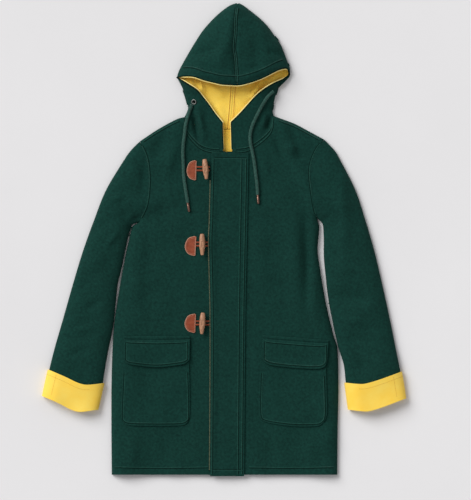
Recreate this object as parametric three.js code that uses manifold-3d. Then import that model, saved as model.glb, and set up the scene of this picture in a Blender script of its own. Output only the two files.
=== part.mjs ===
// Hooded duffle coat of thick brushed cloth, laid flat on its back with the front up.
// Millimetres. +X runs to the wearer's left (right seen from above), +Y to the hood, +Z up from the table.
// Every cloth piece is a wall: a grid of points on its outer face and the same grid moved in by the cloth.
import * as THREE from "three";
import { mergeVertices } from "three/addons/utils/BufferGeometryUtils.js";
import Module from "manifold-3d";

const CLOTH = 2.5; // brushed coating
const LINING = 1.2; // yellow twill
const LEATHER = 2;
const GAP = 0.3; // air between two pieces that are sewn or lie together
const FOLD = 5; // half the height of a folded edge
const SPREAD = 2.4; // how far the cloth runs in from a fold while it rises by one
const CENTRE_FRONT = 6; // where the two fronts meet, under the placket

const wasm = await Module();
wasm.setup();

const coat = new THREE.Group();
const colours = {
  cloth: new THREE.MeshStandardMaterial({ color: 0x173d33, roughness: 0.95 }),
  lining: new THREE.MeshStandardMaterial({ color: 0xf2bb3c, roughness: 0.9 }),
  leather: new THREE.MeshStandardMaterial({ color: 0x8a4429, roughness: 0.6 }),
  wood: new THREE.MeshStandardMaterial({ color: 0xb98560, roughness: 0.5 }),
  cord: new THREE.MeshStandardMaterial({ color: 0x33594c, roughness: 0.9 }),
  brass: new THREE.MeshStandardMaterial({ color: 0x8f7f66, roughness: 0.35, metalness: 1 }),
};

function add(name, geometry, colour) {
  const mesh = new THREE.Mesh(geometry, colours[colour]);
  mesh.name = name;
  coat.add(mesh);
}

// Outlines seen from above, each a smooth curve through the points that its shape needs.
const curve = (...points) => new THREE.SplineCurve(points.map(([x, y]) => new THREE.Vector2(x, y)));

const OUTLINES = {
  right: {
    side: curve([-281, -588], [-282, -451], [-281, -326], [-276, -221], [-268, -162], [-253, -72], [-237, 4], [-229, 31], [-213, 43]),
    armhole: curve([-213, 43], [-195, 82], [-188, 124], [-188, 172], [-195, 210], [-211, 245]),
    shoulder: curve([-211, 245], [-166, 275], [-120, 300], [-99, 306]),
    neckSeam: curve([-99, 306], [-98, 284], [-92, 265], [-78, 247], [-59, 230], [-33, 221], [-2, 220]),
    backNeck: curve([-99, 306], [-62, 285], [-22, 277], [14, 276]),
    sleeveOuter: curve(
      [-211, 245], [-232, 224], [-250, 199], [-295, 124], [-325, 49], [-352, -26],
      [-375, -101], [-402, -196], [-425, -276], [-441, -341], [-452, -392],
    ),
    sleeveInner: curve(
      [-213, 43], [-232, 34], [-240, 5], [-256, -71], [-266, -114], [-271, -161],
      [-278, -222], [-289, -275], [-300, -338], [-304, -365], [-318, -425],
    ),
    sleeveEnd: curve([-452, -392], [-413, -410], [-384, -425], [-363, -431], [-340, -429], [-318, -425]),
    cuffTop: curve([-437, -324], [-410, -332], [-384, -342], [-360, -350], [-335, -356], [-302, -362]),
    hoodSide: curve([-99, 306], [-90, 329], [-95, 354], [-103, 376], [-112, 394], [-118, 405]),
    crownSide: curve([-118, 405], [-112, 424], [-90, 464], [-72, 494], [-52, 524], [-25, 554], [-2, 574], [16, 586], [34, 592]),
    brim: curve([-118, 405], [-100, 409], [-76, 408], [-52, 400], [-28, 394], [-4, 389], [33, 387]),
    mouth: curve([-118, 405], [-95, 391], [-69, 374], [-57, 360], [-40, 338], [-23, 314], [-5, 292]),
    stand: curve([-5, 292], [-4, 256], [-2, 220]),
  },
  left: {
    side: curve([283, -588], [284, -476], [286, -376], [284, -279], [274, -241], [255, -161], [238, -60], [234, -26], [236, 4], [238, 32], [233, 52]),
    armhole: curve([233, 52], [225, 82], [218, 124], [214, 168], [219, 199], [232, 228], [250, 250]),
    shoulder: curve([250, 250], [211, 271], [177, 289], [140, 303], [124, 309]),
    neckSeam: curve([124, 309], [124, 290], [117, 269], [99, 250], [77, 234], [55, 223], [20, 220]),
    backNeck: curve([124, 309], [90, 288], [50, 278], [14, 276]),
    sleeveOuter: curve(
      [250, 250], [275, 224], [290, 199], [328, 124], [353, 49], [375, -26],
      [393, -101], [414, -196], [430, -276], [443, -341], [452, -398],
    ),
    sleeveInner: curve(
      [233, 52], [246, 38], [249, 4], [249, -30], [251, -66], [262, -159],
      [279, -243], [287, -275], [299, -313], [304, -358], [313, -425],
    ),
    sleeveEnd: curve([452, -398], [403, -417], [364, -429], [340, -429], [313, -425]),
    cuffTop: curve([441, -328], [419, -337], [374, -352], [335, -361], [303, -363]),
    hoodSide: curve([124, 309], [121, 326], [126, 349], [132, 372], [138, 387], [150, 397], [164, 412]),
    crownSide: curve([164, 412], [165, 424], [161, 437], [143, 484], [126, 509], [108, 534], [88, 554], [63, 574], [47, 586], [34, 592]),
    brim: curve([164, 412], [157, 428], [139, 426], [120, 417], [96, 405], [72, 396], [48, 389], [33, 387]),
    mouth: curve([164, 412], [149, 401], [127, 391], [103, 377], [80, 358], [43, 317], [18, 292]),
    stand: curve([18, 292], [19, 256], [20, 220]),
  },
};
const SIDES = ["right", "left"];
const PEAK = new THREE.Vector2(34, 592);
const CROWN_SEAM = curve([34, 592], [29, 552], [28, 515], [25, 480], [29, 451], [33, 387]);
const BACK_SEAM = { low: curve([14, 276], [20, 340], [24, 404]), high: curve([24, 404], [28, 500], [34, 592]) };

// Folded edges: the cloth turns over to the layer below all along these.
const FOLDED = ["side", "shoulder", "sleeveOuter", "sleeveInner", "hoodSide", "crownSide"];
const FOLD_STEPS = 80;
const foldedEdges = SIDES.flatMap((hand) => FOLDED.map((name) => OUTLINES[hand][name].getSpacedPoints(FOLD_STEPS)));

// The loft of the upper layer, from hem to hood: how far it stands above a folded edge.
const BODY_LOFT = [
  { y: -592, height: 7.5 },
  { y: -430, height: 12 },
  { y: -200, height: 16 },
  { y: 60, height: 17 },
  { y: 220, height: 12 },
  { y: 320, height: 13 },
  { y: 410, height: 16 },
];
const SLEEVE_LOFT = [
  { y: -432, height: 15 },
  { y: -250, height: 19 },
  { y: -20, height: 22 },
  { y: 140, height: 20 },
  { y: 250, height: 14 },
];
const SLEEVE_FROM = 195;
const SLEEVE_OVER = 60;
const CROWN_LOFT = 42;
const CROWN_FROM = 355;
const CROWN_FULL = 400;
const CUFF_AIR = 1.3; // between a sleeve and the cuff turned back over it
const CUFF_LIFT = CLOTH + CUFF_AIR; // the cuff's wall holds the sleeve's end that far off the table

// The largest folds: soft ridges, or troughs where the height is negative, from one point to another.
const FOLDS = [
  { from: [138, 296], to: [168, 226], width: 15, height: 7 },
  { from: [168, 226], to: [222, 104], width: 17, height: 6 },
  { from: [166, 282], to: [188, 210], width: 12, height: -4 },
  { from: [-140, 288], to: [-168, 214], width: 15, height: -4 },
  { from: [-176, 86], to: [-232, 96], width: 17, height: 5 },
  { from: [-250, 60], to: [-318, 30], width: 16, height: -4 },
  { from: [-290, -60], to: [-352, -110], width: 18, height: -4 },
  { from: [298, 150], to: [302, 10], width: 17, height: 5 },
  { from: [262, 62], to: [240, 100], width: 16, height: 5 },
  { from: [262, 20], to: [282, -40], width: 13, height: -4 },
  { from: [270, -140], to: [345, -150], width: 15, height: -5 },
  { from: [318, -260], to: [345, -310], width: 16, height: -5 },
  { from: [-66, 330], to: [-50, 262], width: 10, height: 4 },
  { from: [-74, 300], to: [-62, 250], width: 7, height: -4 },
  { from: [110, 302], to: [96, 268], width: 8, height: -4 },
];
const CROWN_FOLDS = [
  { from: [24, 572], to: [6, 480], width: 13, height: 5 },
  { from: [-70, 466], to: [-30, 474], width: 12, height: -6 },
  { from: [150, 462], to: [116, 466], width: 10, height: -6 },
  { from: [60, 520], to: [74, 440], width: 20, height: -5 },
];

const mix = THREE.MathUtils.lerp;
const smooth = (value, from, to) => THREE.MathUtils.smoothstep(value, from, to);

function distanceToSegment(x, y, a, b) {
  const [dx, dy] = [b.x - a.x, b.y - a.y];
  const along = THREE.MathUtils.clamp(((x - a.x) * dx + (y - a.y) * dy) / (dx * dx + dy * dy), 0, 1);
  return Math.hypot(x - a.x - along * dx, y - a.y - along * dy);
}

function distanceToFold(x, y) {
  let nearest = Infinity;
  for (const edge of foldedEdges)
    for (let i = 1; i < edge.length; i++)
      nearest = Math.min(nearest, distanceToSegment(x, y, edge[i - 1], edge[i]));
  return nearest;
}

function loftAt(table, y) {
  const above = table.findIndex((row) => row.y > y);
  if (above === 0) return table[0].height;
  if (above < 0) return table.at(-1).height;
  const [low, high] = [table[above - 1], table[above]];
  return mix(low.height, high.height, smooth(y, low.y, high.y));
}

function foldsAt(folds, x, y) {
  let height = 0;
  for (const fold of folds) {
    const [a, b] = [new THREE.Vector2(...fold.from), new THREE.Vector2(...fold.to)];
    height += fold.height * Math.exp(-((distanceToSegment(x, y, a, b) / fold.width) ** 2));
  }
  return height;
}

// The rise from a folded edge to the loft is a quarter of an ellipse.
function rise(distance, loft) {
  const inwards = 1 - Math.min(distance / (SPREAD * loft), 1);
  return Math.sqrt(1 - inwards * inwards);
}

// How far the cuffs hold the sleeves off the table.
function cuffLift(x, y) {
  return Math.abs(x) > 290 ? CUFF_LIFT * smooth(-y, 250, 315) : 0;
}

// Outer face of the upper layer of body, sleeves and neck.
function top(x, y) {
  const sleeve = smooth(Math.abs(x - 10), SLEEVE_FROM, SLEEVE_FROM + SLEEVE_OVER) * smooth(-y, -260, -240);
  const loft = mix(loftAt(BODY_LOFT, y), loftAt(SLEEVE_LOFT, y), sleeve);
  const full = rise(distanceToFold(x, y), loft);
  return FOLD + GAP / 2 + cuffLift(x, y) + full * (loft + foldsAt(FOLDS, x, y));
}

// Outer face of the hood's upper layer, where the crown stands higher than the neck.
function hoodTop(x, y, shrunk = 0) {
  const full = rise(Math.max(distanceToFold(x, y) - shrunk, 0), CROWN_LOFT);
  const crown = FOLD + GAP / 2 + full * (CROWN_LOFT + foldsAt(CROWN_FOLDS, x, y));
  return mix(top(x, y), crown, smooth(y, CROWN_FROM, CROWN_FULL));
}

// Outer face of the lower layer: flat on the table, and turned up to the folded edges.
function under(x, y) {
  const inwards = 1 - Math.min(distanceToFold(x, y) / FOLD, 1);
  return cuffLift(x, y) + (FOLD - GAP / 2) * (1 - Math.sqrt(1 - inwards * inwards));
}

// A side of a panel made of curves end to end: each span gives its curve and the stretch of it that is used.
const chain = (...spans) => (v) => {
  const span = spans.find(({ to }) => v <= to + 1e-9) ?? spans.at(-1);
  const t = mix(span.start ?? 0, span.end ?? 1, (v - span.from) / (span.to - span.from));
  return span.curve.getPointAt(THREE.MathUtils.clamp(t, 0, 1));
};
const whole = (line) => (t) => line.getPointAt(THREE.MathUtils.clamp(t, 0, 1));
const straight = (from, to) => (t) => new THREE.Vector2(mix(from[0], to[0], t), mix(from[1], to[1], t));

// Fills the plan between four sides: a(v) and b(v) run alongside, start(u) and end(u) run across.
function patch(a, b, start, end) {
  const [a0, a1, b0, b1] = [a(0), a(1), b(0), b(1)];
  return (u, v) => {
    const [pa, pb, ps, pe] = [a(v), b(v), start(u), end(u)];
    const blend = (k) =>
      mix(pa[k], pb[k], u) + mix(ps[k], pe[k], v) - mix(mix(a0[k], b0[k], u), mix(a1[k], b1[k], u), v);
    return [blend("x"), blend("y")];
  };
}

// Picks count points along a dense line, closer together where it bends.
const BEND_WEIGHT = 55; // millimetres of line that one radian of bend counts for
function resample(line, count) {
  const reach = [0];
  for (let i = 1; i < line.length; i++) {
    const step = line[i].clone().sub(line[i - 1]);
    const next = i + 1 < line.length ? line[i + 1].clone().sub(line[i]) : step;
    reach.push(reach[i - 1] + step.length() + BEND_WEIGHT * step.angleTo(next));
  }
  const points = [];
  for (let n = 0, i = 1; n < count; n++) {
    const goal = (reach.at(-1) * n) / (count - 1);
    while (i < line.length - 1 && reach[i] < goal) i++;
    const share = (goal - reach[i - 1]) / (reach[i] - reach[i - 1]);
    points.push(line[i - 1].clone().lerp(line[i], THREE.MathUtils.clamp(share, 0, 1)));
  }
  return points;
}

// Takes a length off both ends of a dense line, which leaves the air at a seam.
function trim(line, start, end) {
  const cut = (points, length) => {
    let left = length;
    while (points.length > 2 && points[0].distanceTo(points[1]) <= left) {
      left -= points[0].distanceTo(points[1]);
      points.shift();
    }
    const first = points[0].distanceTo(points[1]);
    return [points[0].clone().lerp(points[1], left / first), ...points.slice(1)];
  };
  return cut(cut([...line], start).reverse(), end).reverse();
}

function geometryOf(positions, triangles) {
  let volume = 0;
  const [a, b, c] = [new THREE.Vector3(), new THREE.Vector3(), new THREE.Vector3()];
  for (let i = 0; i < triangles.length; i += 3) {
    [a, b, c].forEach((p, k) => p.fromArray(positions, 3 * triangles[i + k]));
    volume += a.dot(b.cross(c));
  }
  const facing = volume > 0 ? triangles : [...triangles].reverse();
  const geometry = new THREE.BufferGeometry();
  geometry.setAttribute("position", new THREE.Float32BufferAttribute(positions, 3));
  geometry.setIndex(facing);
  return geometry;
}

function faceNormal(face, x, y, step) {
  const slopeX = (face(x + step, y) - face(x - step, y)) / (2 * step);
  const slopeY = (face(x, y + step) - face(x, y - step)) / (2 * step);
  return new THREE.Vector3(-slopeX, -slopeY, 1).normalize();
}

// Two pieces that are sewn together go in alike at their seam: level on a folded edge, else square to the face.
function inwardsAtEdge({ x, y, z }, free) {
  const level = Math.abs(z - FOLD - cuffLift(x, y)) < 1.2 && distanceToFold(x, y) < 1;
  if (level) return free.setZ(0).normalize();
  if (Math.abs(z - top(x, y)) < 0.6) return faceNormal(top, x, y, 0.5).negate();
  if (Math.abs(z - under(x, y)) < 0.3) return faceNormal(under, x, y, 0.5);
  return free;
}

// A wall from rows of points on its outer face, which looks up or down at the middle of its first third.
const UP = 1;
const DOWN = -1;
function wall(grid, facing, thickness) {
  const [rows, count] = [grid.length, grid[0].length];
  const clamp = (value, most) => Math.min(Math.max(value, 0), most);
  const at = (r, i) => grid[clamp(r, rows - 1)][clamp(i, count - 1)];
  const normal = (r, i) => {
    const across = at(r, i + 1).clone().sub(at(r, i - 1));
    return across.cross(at(r + 1, i).clone().sub(at(r - 1, i))).normalize();
  };
  const sign = -facing * Math.sign(normal(Math.floor(rows / 2), Math.floor(count / 3)).z);
  const inwards = (r, i) => {
    const edge = r === 0 || r === rows - 1 || i === 0 || i === count - 1;
    const free = normal(r, i).multiplyScalar(sign);
    return edge ? inwardsAtEdge(grid[r][i], free) : free;
  };
  const positions = [];
  for (const depth of [0, thickness])
    for (let r = 0; r < rows; r++)
      for (let i = 0; i < count; i++)
        positions.push(...grid[r][i].clone().addScaledVector(inwards(r, i), depth).toArray());
  const index = (face, r, i) => face * rows * count + r * count + i;
  const triangles = [];
  const quad = (p, q, s, t) => triangles.push(p, q, s, p, s, t);
  for (let r = 0; r + 1 < rows; r++)
    for (let i = 0; i + 1 < count; i++) {
      quad(index(0, r, i), index(0, r, i + 1), index(0, r + 1, i + 1), index(0, r + 1, i));
      quad(index(1, r, i), index(1, r + 1, i), index(1, r + 1, i + 1), index(1, r, i + 1));
    }
  const [end, last] = [rows - 1, count - 1];
  for (let i = 0; i < last; i++) {
    quad(index(0, 0, i), index(1, 0, i), index(1, 0, i + 1), index(0, 0, i + 1));
    quad(index(0, end, i), index(0, end, i + 1), index(1, end, i + 1), index(1, end, i));
  }
  for (let r = 0; r < end; r++) {
    quad(index(0, r, 0), index(0, r + 1, 0), index(1, r + 1, 0), index(1, r, 0));
    quad(index(0, r, last), index(1, r, last), index(1, r + 1, last), index(0, r + 1, last));
  }
  return geometryOf(positions, triangles);
}

// One row across a plan at v, from u = from to u = to, at the height that a face gives.
const DENSE = 90;
function rowOf(plan, face, v, from = 0, to = 1) {
  const line = [];
  for (let k = 0; k <= DENSE; k++) {
    const u = mix(from, to, (1 - Math.cos((Math.PI * k) / DENSE)) / 2);
    const [x, y] = plan(u, v);
    line.push(new THREE.Vector3(x, y, face(x, y)));
  }
  return line;
}

function solid(geometry) {
  const bare = new THREE.BufferGeometry();
  bare.setAttribute("position", geometry.getAttribute("position"));
  bare.setIndex(geometry.index);
  const merged = mergeVertices(bare, 1e-4);
  return new wasm.Manifold(
    new wasm.Mesh({
      numProp: 3,
      vertProperties: merged.attributes.position.array,
      triVerts: new Uint32Array(merged.index.array),
    }),
  );
}

// What a cut leaves, without the crumbs.
const CRUMB = 0.004;
function largest(manifold) {
  const [body] = manifold.simplify(CRUMB).decompose().sort((p, q) => q.volume() - p.volume());
  return body;
}

function geometryFrom(manifold) {
  const { vertProperties, triVerts } = manifold.getMesh();
  const geometry = new THREE.BufferGeometry();
  geometry.setAttribute("position", new THREE.BufferAttribute(vertProperties, 3));
  geometry.setIndex(new THREE.BufferAttribute(triVerts, 1));
  return geometry;
}

// A closed body from closed rings: a wall's outer or inner face with a cap on both ends.
function capped(rings) {
  const count = rings[0].length;
  const positions = rings.flatMap((ring) => ring.flatMap((p) => p.toArray()));
  const triangles = [];
  for (let r = 0; r + 1 < rings.length; r++)
    for (let i = 0; i < count; i++) {
      const [p, q] = [r * count + i, r * count + ((i + 1) % count)];
      triangles.push(p, q, q + count, p, q + count, p + count);
    }
  for (const [r, flip] of [[0, true], [rings.length - 1, false]]) {
    const centre = rings[r].reduce((sum, p) => sum.add(p), new THREE.Vector3()).divideScalar(count);
    positions.push(...centre.toArray());
    const hub = positions.length / 3 - 1;
    for (let i = 0; i < count; i++) {
      const [p, q] = [r * count + i, r * count + ((i + 1) % count)];
      triangles.push(hub, flip ? q : p, flip ? p : q);
    }
  }
  return geometryOf(positions, triangles);
}

// A ring-shaped body from rings whose last one joins the first.
function rolled(rings) {
  const count = rings[0].length;
  const triangles = [];
  rings.forEach((ring, r) => {
    const next = ((r + 1) % rings.length) * count;
    for (let i = 0; i < count; i++) {
      const after = (i + 1) % count;
      triangles.push(r * count + i, r * count + after, next + after, r * count + i, next + after, next + i);
    }
  });
  return geometryOf(rings.flatMap((ring) => ring.flatMap((p) => p.toArray())), triangles);
}

// The same rings moved in from their outer face by a depth, or out where it is negative.
function inset(rings, depth) {
  const count = rings[0].length;
  const normal = (r, i) => {
    const across = rings[r][(i + 1) % count].clone().sub(rings[r][(i + count - 1) % count]);
    const next = rings[Math.min(r + 1, rings.length - 1)][i];
    return across.cross(next.clone().sub(rings[Math.max(r - 1, 0)][i])).normalize();
  };
  const middle = Math.floor(rings.length / 2);
  const highest = rings[middle].reduce((best, p, i) => (p.z > rings[middle][best].z ? i : best), 0);
  const inwards = -Math.sign(normal(middle, highest).z);
  return rings.map((ring, r) => ring.map((p, i) => p.clone().addScaledVector(normal(r, i), inwards * depth)));
}

// Moves the first or the last ring on past the end, so that a cut goes right through.
function reach(rings, first, last) {
  const onward = (from, to, share) => to.map((p, i) => p.clone().addScaledVector(p.clone().sub(from[i]), share));
  return [onward(rings[1], rings[0], first), ...rings.slice(1, -1), onward(rings.at(-2), rings.at(-1), last)];
}

// A closed ring at v: over the top from side to side, and back under.
function ringOf(plan, lowPlan, face, v, overCount, underCount) {
  const over = resample(rowOf(plan, face, v), overCount);
  const back = resample(rowOf(lowPlan, under, v).reverse(), underCount);
  return [...over, ...back.slice(1, -1)];
}

// A piece gives way to the neighbours that were made before it, each moved on by the air between them.
const made = {};
const ABOVE = [0, 0, GAP];
const BELOW = [0, 0, -GAP];
const UPWARDS = [0, GAP, 0];
const beside = (hand) => [hand === "right" ? -GAP : GAP, 0, 0];
function fit(name, geometry, colour, neighbours) {
  const cuts = neighbours.flatMap(([other, moved]) => [made[other], made[other].translate(moved)]);
  const whole = solid(geometry);
  made[name] = largest(cuts.reduce((rest, cut) => rest.subtract(cut), whole));
  add(name, geometryFrom(made[name]), colour);
}

const backwards = (line) => curve(...line.getSpacedPoints(10).map((p) => [p.x, p.y]).reverse());

// Body: the back on the table, turned up along the side seams and shoulders, and two fronts over it.
const UNDERARM = 0.6; // share of the panel's length below the armholes
function bodySide(hand) {
  const { side, armhole } = OUTLINES[hand];
  return chain({ curve: side, from: 0, to: UNDERARM }, { curve: armhole, from: UNDERARM, to: 1 });
}
const BODY_ROWS = [0, 0.09, 0.18, 0.27, 0.36, 0.44, 0.51, 0.565, 0.6, 0.635, 0.68, 0.73, 0.785];
const SHOULDER_ROWS = [0.87, 0.905, 0.94, 0.965, 0.982, 0.993, 0.9985, 1];

function backPanel() {
  const { right, left } = OUTLINES;
  const shoulders = chain(
    { curve: right.shoulder, from: 0, to: 0.24 },
    { curve: right.backNeck, from: 0.24, to: 0.47 },
    { curve: backwards(left.backNeck), from: 0.47, to: 0.72 },
    { curve: backwards(left.shoulder), from: 0.72, to: 1 },
  );
  const plan = patch(bodySide("right"), bodySide("left"), straight([-281, -588], [283, -588]), shoulders);
  const rows = [...BODY_ROWS.filter((v, i) => i % 2 === 0 || v > 0.55), 0.87, ...SHOULDER_ROWS.slice(3)];
  return wall(rows.map((v) => resample(trim(rowOf(plan, under, v), GAP / 2, GAP / 2), 13)), DOWN, CLOTH);
}

const NECK_CORNER = 0.84; // share of a front's length below its neck seam
function frontPanel(hand) {
  const { neckSeam, shoulder, side } = OUTLINES[hand];
  const neckEnd = neckSeam.getPointAt(1);
  const centre = CENTRE_FRONT + (hand === "left" ? GAP : -GAP) / 2;
  const hemCorner = side.getPointAt(0);
  const centreSide = chain(
    { curve: curve([centre, -588], [centre, 43]), from: 0, to: UNDERARM },
    { curve: curve([centre, 43], [centre, neckEnd.y]), from: UNDERARM, to: NECK_CORNER },
    { curve: curve([centre, neckEnd.y], [neckEnd.x, neckEnd.y]), from: NECK_CORNER, to: NECK_CORNER + 0.01 },
    { curve: backwards(neckSeam), from: NECK_CORNER + 0.01, to: 1 },
  );
  const plan = patch(bodySide(hand), centreSide, straight([hemCorner.x, -588], [centre, -588]), whole(shoulder));
  const rows = [...BODY_ROWS, NECK_CORNER, ...SHOULDER_ROWS];
  return wall(rows.map((v) => resample(trim(rowOf(plan, top, v), GAP / 2, GAP / 2), 15)), UP, CLOTH);
}

fit("back", backPanel(), "cloth", []);
for (const hand of SIDES) fit(`front_${hand}`, frontPanel(hand), "cloth", [["back", ABOVE]]);

// Sleeves: a topsleeve above, and an undersleeve that comes round the inner edge to the forearm seam.
const SLEEVE_END = 0.995;
const CUFF_TOP = 0.9; // share of the sleeve's length above its cuff
const CUFF_DEPTH = 68;
const BICEPS = 0.17; // share of the sleeve's length in its head, which turns from the armhole to straight across
const SLEEVE_ROWS = [
  0.0014, 0.04, 0.08, 0.13, 0.18, 0.24, 0.31, 0.4, 0.5, 0.6, 0.7, 0.8, CUFF_TOP, 0.95, SLEEVE_END,
];
const FOREARM_SEAM = { starts: 0.42, ends: 1.12, share: 0.26 };

function sleeveRows(hand) {
  const { sleeveOuter, sleeveInner, armhole, sleeveEnd } = OUTLINES[hand];
  const stretch = (line, start, end) => chain({ curve: line, from: 0, to: 1, start, end });
  const down = (line) => {
    const turn = 1 - CUFF_DEPTH / line.getLength();
    const cuffFrom = (CUFF_TOP - BICEPS) / (1 - BICEPS);
    return chain(
      { curve: line, from: 0, to: cuffFrom, start: BICEPS, end: turn },
      { curve: line, from: cuffFrom, to: 1, start: turn },
    );
  };
  const across = straight(...[sleeveOuter, sleeveInner].map((line) => line.getPointAt(BICEPS).toArray()));
  const head = patch(
    stretch(sleeveOuter, 0, BICEPS),
    stretch(sleeveInner, 0, BICEPS),
    whole(backwards(armhole)),
    across,
  );
  const arm = patch(down(sleeveOuter), down(sleeveInner), across, whole(sleeveEnd));
  const plan = (u, v) => (v < BICEPS ? head(u, v / BICEPS) : arm(u, (v - BICEPS) / (1 - BICEPS)));
  return [...SLEEVE_ROWS, 1].map((v) => {
    const seam = 1 - FOREARM_SEAM.share * smooth(v, FOREARM_SEAM.starts, FOREARM_SEAM.ends);
    const over = trim(rowOf(plan, top, v, 0, seam), GAP / 2, GAP / 2);
    const inner = seam < 1 ? rowOf(plan, top, v, 1, seam).slice(1) : [];
    const below = trim([...rowOf(plan, under, v), ...inner], GAP / 2, GAP / 2);
    return { over: resample(over, 10), below: resample(below, 12) };
  });
}

// Cuffs: the sleeve's end turned back over itself, with the yellow inside outwards.
function cuff(rows) {
  const rings = rows.slice(SLEEVE_ROWS.indexOf(CUFF_TOP)).map(({ over, below }) => [...over, ...[...below].reverse()]);
  const [outside, room, mouth] = [-CUFF_LIFT, -CUFF_AIR, CLOTH].map((depth) => inset(rings, depth));
  const past = (ring, end) => ring.map((p, i) => p.clone().lerp(end[i], 0.3));
  const turned = [past(mouth.at(-2), mouth.at(-1)), past(room.at(-2), room.at(-1))];
  return rolled([...outside, mouth.at(-1), ...turned, ...room.slice(0, -2).reverse()]);
}

for (const hand of SIDES) {
  const rows = sleeveRows(hand);
  const sewn = rows.slice(0, -1);
  const [over, below] = [`topsleeve_${hand}`, `undersleeve_${hand}`];
  const body = ["back", `front_${hand}`].map((name) => [name, beside(hand)]);
  fit(over, wall(sewn.map((row) => row.over), UP, CLOTH), "cloth", body);
  fit(below, wall(sewn.map((row) => row.below), DOWN, CLOTH), "cloth", [...body, [over, BELOW]]);
  fit(`cuff_${hand}`, cuff(rows), "lining", [[over, ABOVE], [below, BELOW]]);
}

// Hood: two halves of cloth over two of lining, lying on its back with the mouth up. A half is one sheet.
// Its rows run from the back seam out to the fold and in again over the top, to the mouth or the crown seam.
const NECK_STEPS = [0.003, 0.17, 0.34, 0.5, 0.66, 0.81, 0.92];
const CROWN_STEPS = [0, 0.07, 0.16, 0.27, 0.39, 0.52, 0.65, 0.78, 0.88, 0.95];
const LOW_COUNT = 7;
const TOP_COUNT = 11;

function hoodPlans(hand) {
  const { hoodSide, crownSide, neckSeam, backNeck, brim, mouth, stand } = OUTLINES[hand];
  const corner = hoodSide.getPointAt(1);
  const onCorner = () => corner.clone();
  const peak = () => crownSide.getPointAt(1);
  const opening = chain({ curve: backwards(stand), from: 0, to: 0.3 }, { curve: backwards(mouth), from: 0.3, to: 1 });
  const level = straight(corner.toArray(), BACK_SEAM.high.getPointAt(0).toArray());
  return {
    neckTop: patch(whole(hoodSide), opening, whole(neckSeam), onCorner),
    neckLow: patch(whole(hoodSide), whole(BACK_SEAM.low), whole(backNeck), level),
    crownTop: patch(whole(crownSide), whole(backwards(CROWN_SEAM)), whole(brim), peak),
    crownLow: patch(whole(crownSide), whole(BACK_SEAM.high), level, peak),
  };
}

function hoodHalf(hand, { overFace, underFace, inset, thickness, crownSteps }) {
  const { neckTop, neckLow, crownTop, crownLow } = hoodPlans(hand);
  const low = (plan, v) => resample(trim(rowOf(plan, underFace, v), inset, GAP / 2), LOW_COUNT).reverse();
  const over = (plan, v) => resample(trim(rowOf(plan, overFace, v), inset, GAP / 2), TOP_COUNT).slice(1);
  const points = [];
  const keep = (line) => line.map((p) => points.push(p) - 1);
  const neck = NECK_STEPS.map((v) => keep([...low(neckLow, v), ...over(neckTop, v)]));
  const crown = crownSteps.map((v) => keep([...low(crownLow, v), ...over(crownTop, v)]));
  const faces = [];
  const join = (rows, count) => {
    for (let r = 0; r + 1 < rows.length; r++)
      for (let i = 0; i + 1 < count; i++)
        faces.push([rows[r][i], rows[r][i + 1], rows[r + 1][i + 1], rows[r + 1][i]]);
  };
  join(neck, neck[0].length);
  join([neck.at(-1), crown[0]], LOW_COUNT);
  join(crown, crown[0].length);
  const corner = crown[0][LOW_COUNT - 1];
  const beside = neck.at(-1).slice(LOW_COUNT - 1);
  for (let i = 0; i + 1 < beside.length; i++) faces.push([beside[i], beside[i + 1], corner]);
  if (inset < GAP) {
    const tip = keep([new THREE.Vector3(PEAK.x + (hand === "right" ? -GAP : GAP), PEAK.y - 1, FOLD)])[0];
    const last = crown.at(-1);
    for (let i = 0; i + 1 < last.length; i++) faces.push([last[i], last[i + 1], tip]);
  }
  return thicken(points, faces, thickness);
}

// A sheet of any faces, given a thickness inwards and closed along its free edges.
function thicken(points, faces, thickness) {
  const normals = points.map(() => new THREE.Vector3());
  for (const face of faces) {
    const [a, b, c] = [points[face[0]], points[face[1]], points[face.at(-1)]];
    const square = b.clone().sub(a).cross(c.clone().sub(a));
    face.forEach((i) => normals[i].add(square));
  }
  const lowest = points.reduce((best, p, i) => (p.z < points[best].z ? i : best), 0);
  const inwards = Math.sign(normals[lowest].z);
  const inner = points.map((p, i) => p.clone().addScaledVector(normals[i].normalize(), inwards * thickness));
  const positions = [...points, ...inner].flatMap((p) => p.toArray());
  const under = points.length;
  const used = new Map();
  const triangles = [];
  for (const face of faces) {
    for (let k = 1; k + 1 < face.length; k++) {
      triangles.push(face[0], face[k], face[k + 1]);
      triangles.push(face[0] + under, face[k + 1] + under, face[k] + under);
    }
    face.forEach((from, k) => {
      const to = face[(k + 1) % face.length];
      if (!used.delete(`${to} ${from}`)) used.set(`${from} ${to}`, [from, to]);
    });
  }
  for (const [from, to] of used.values()) triangles.push(from, from + under, to + under, from, to + under, to);
  return geometryOf(positions, triangles);
}

const LINING_AIR = 0.5; // between the hood and its lining
const LINING_FOLD = 14; // how far inside the hood's own fold the lining's fold is
const liningDrop = CLOTH + LINING_AIR;
const hoodCloth = { overFace: hoodTop, underFace: under, inset: GAP / 20, thickness: CLOTH, crownSteps: CROWN_STEPS };
const hoodInside = {
  overFace: (x, y) => Math.max(hoodTop(x, y, LINING_FOLD) - 2.2 * liningDrop, FOLD),
  underFace: (x, y) => liningDrop + (FOLD - liningDrop) * (1 - smooth(distanceToFold(x, y), LINING_FOLD, 22)),
  inset: LINING_FOLD,
  thickness: LINING,
  crownSteps: CROWN_STEPS.filter((v) => v < 0.8),
};
for (const hand of SIDES) {
  const body = ["back", "front_right", "front_left"].map((name) => [name, UPWARDS]);
  const other = hand === "right" ? [] : [["hood_right", beside(hand)]];
  fit(`hood_${hand}`, hoodHalf(hand, hoodCloth), "cloth", [...body, ...other]);
}
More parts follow.
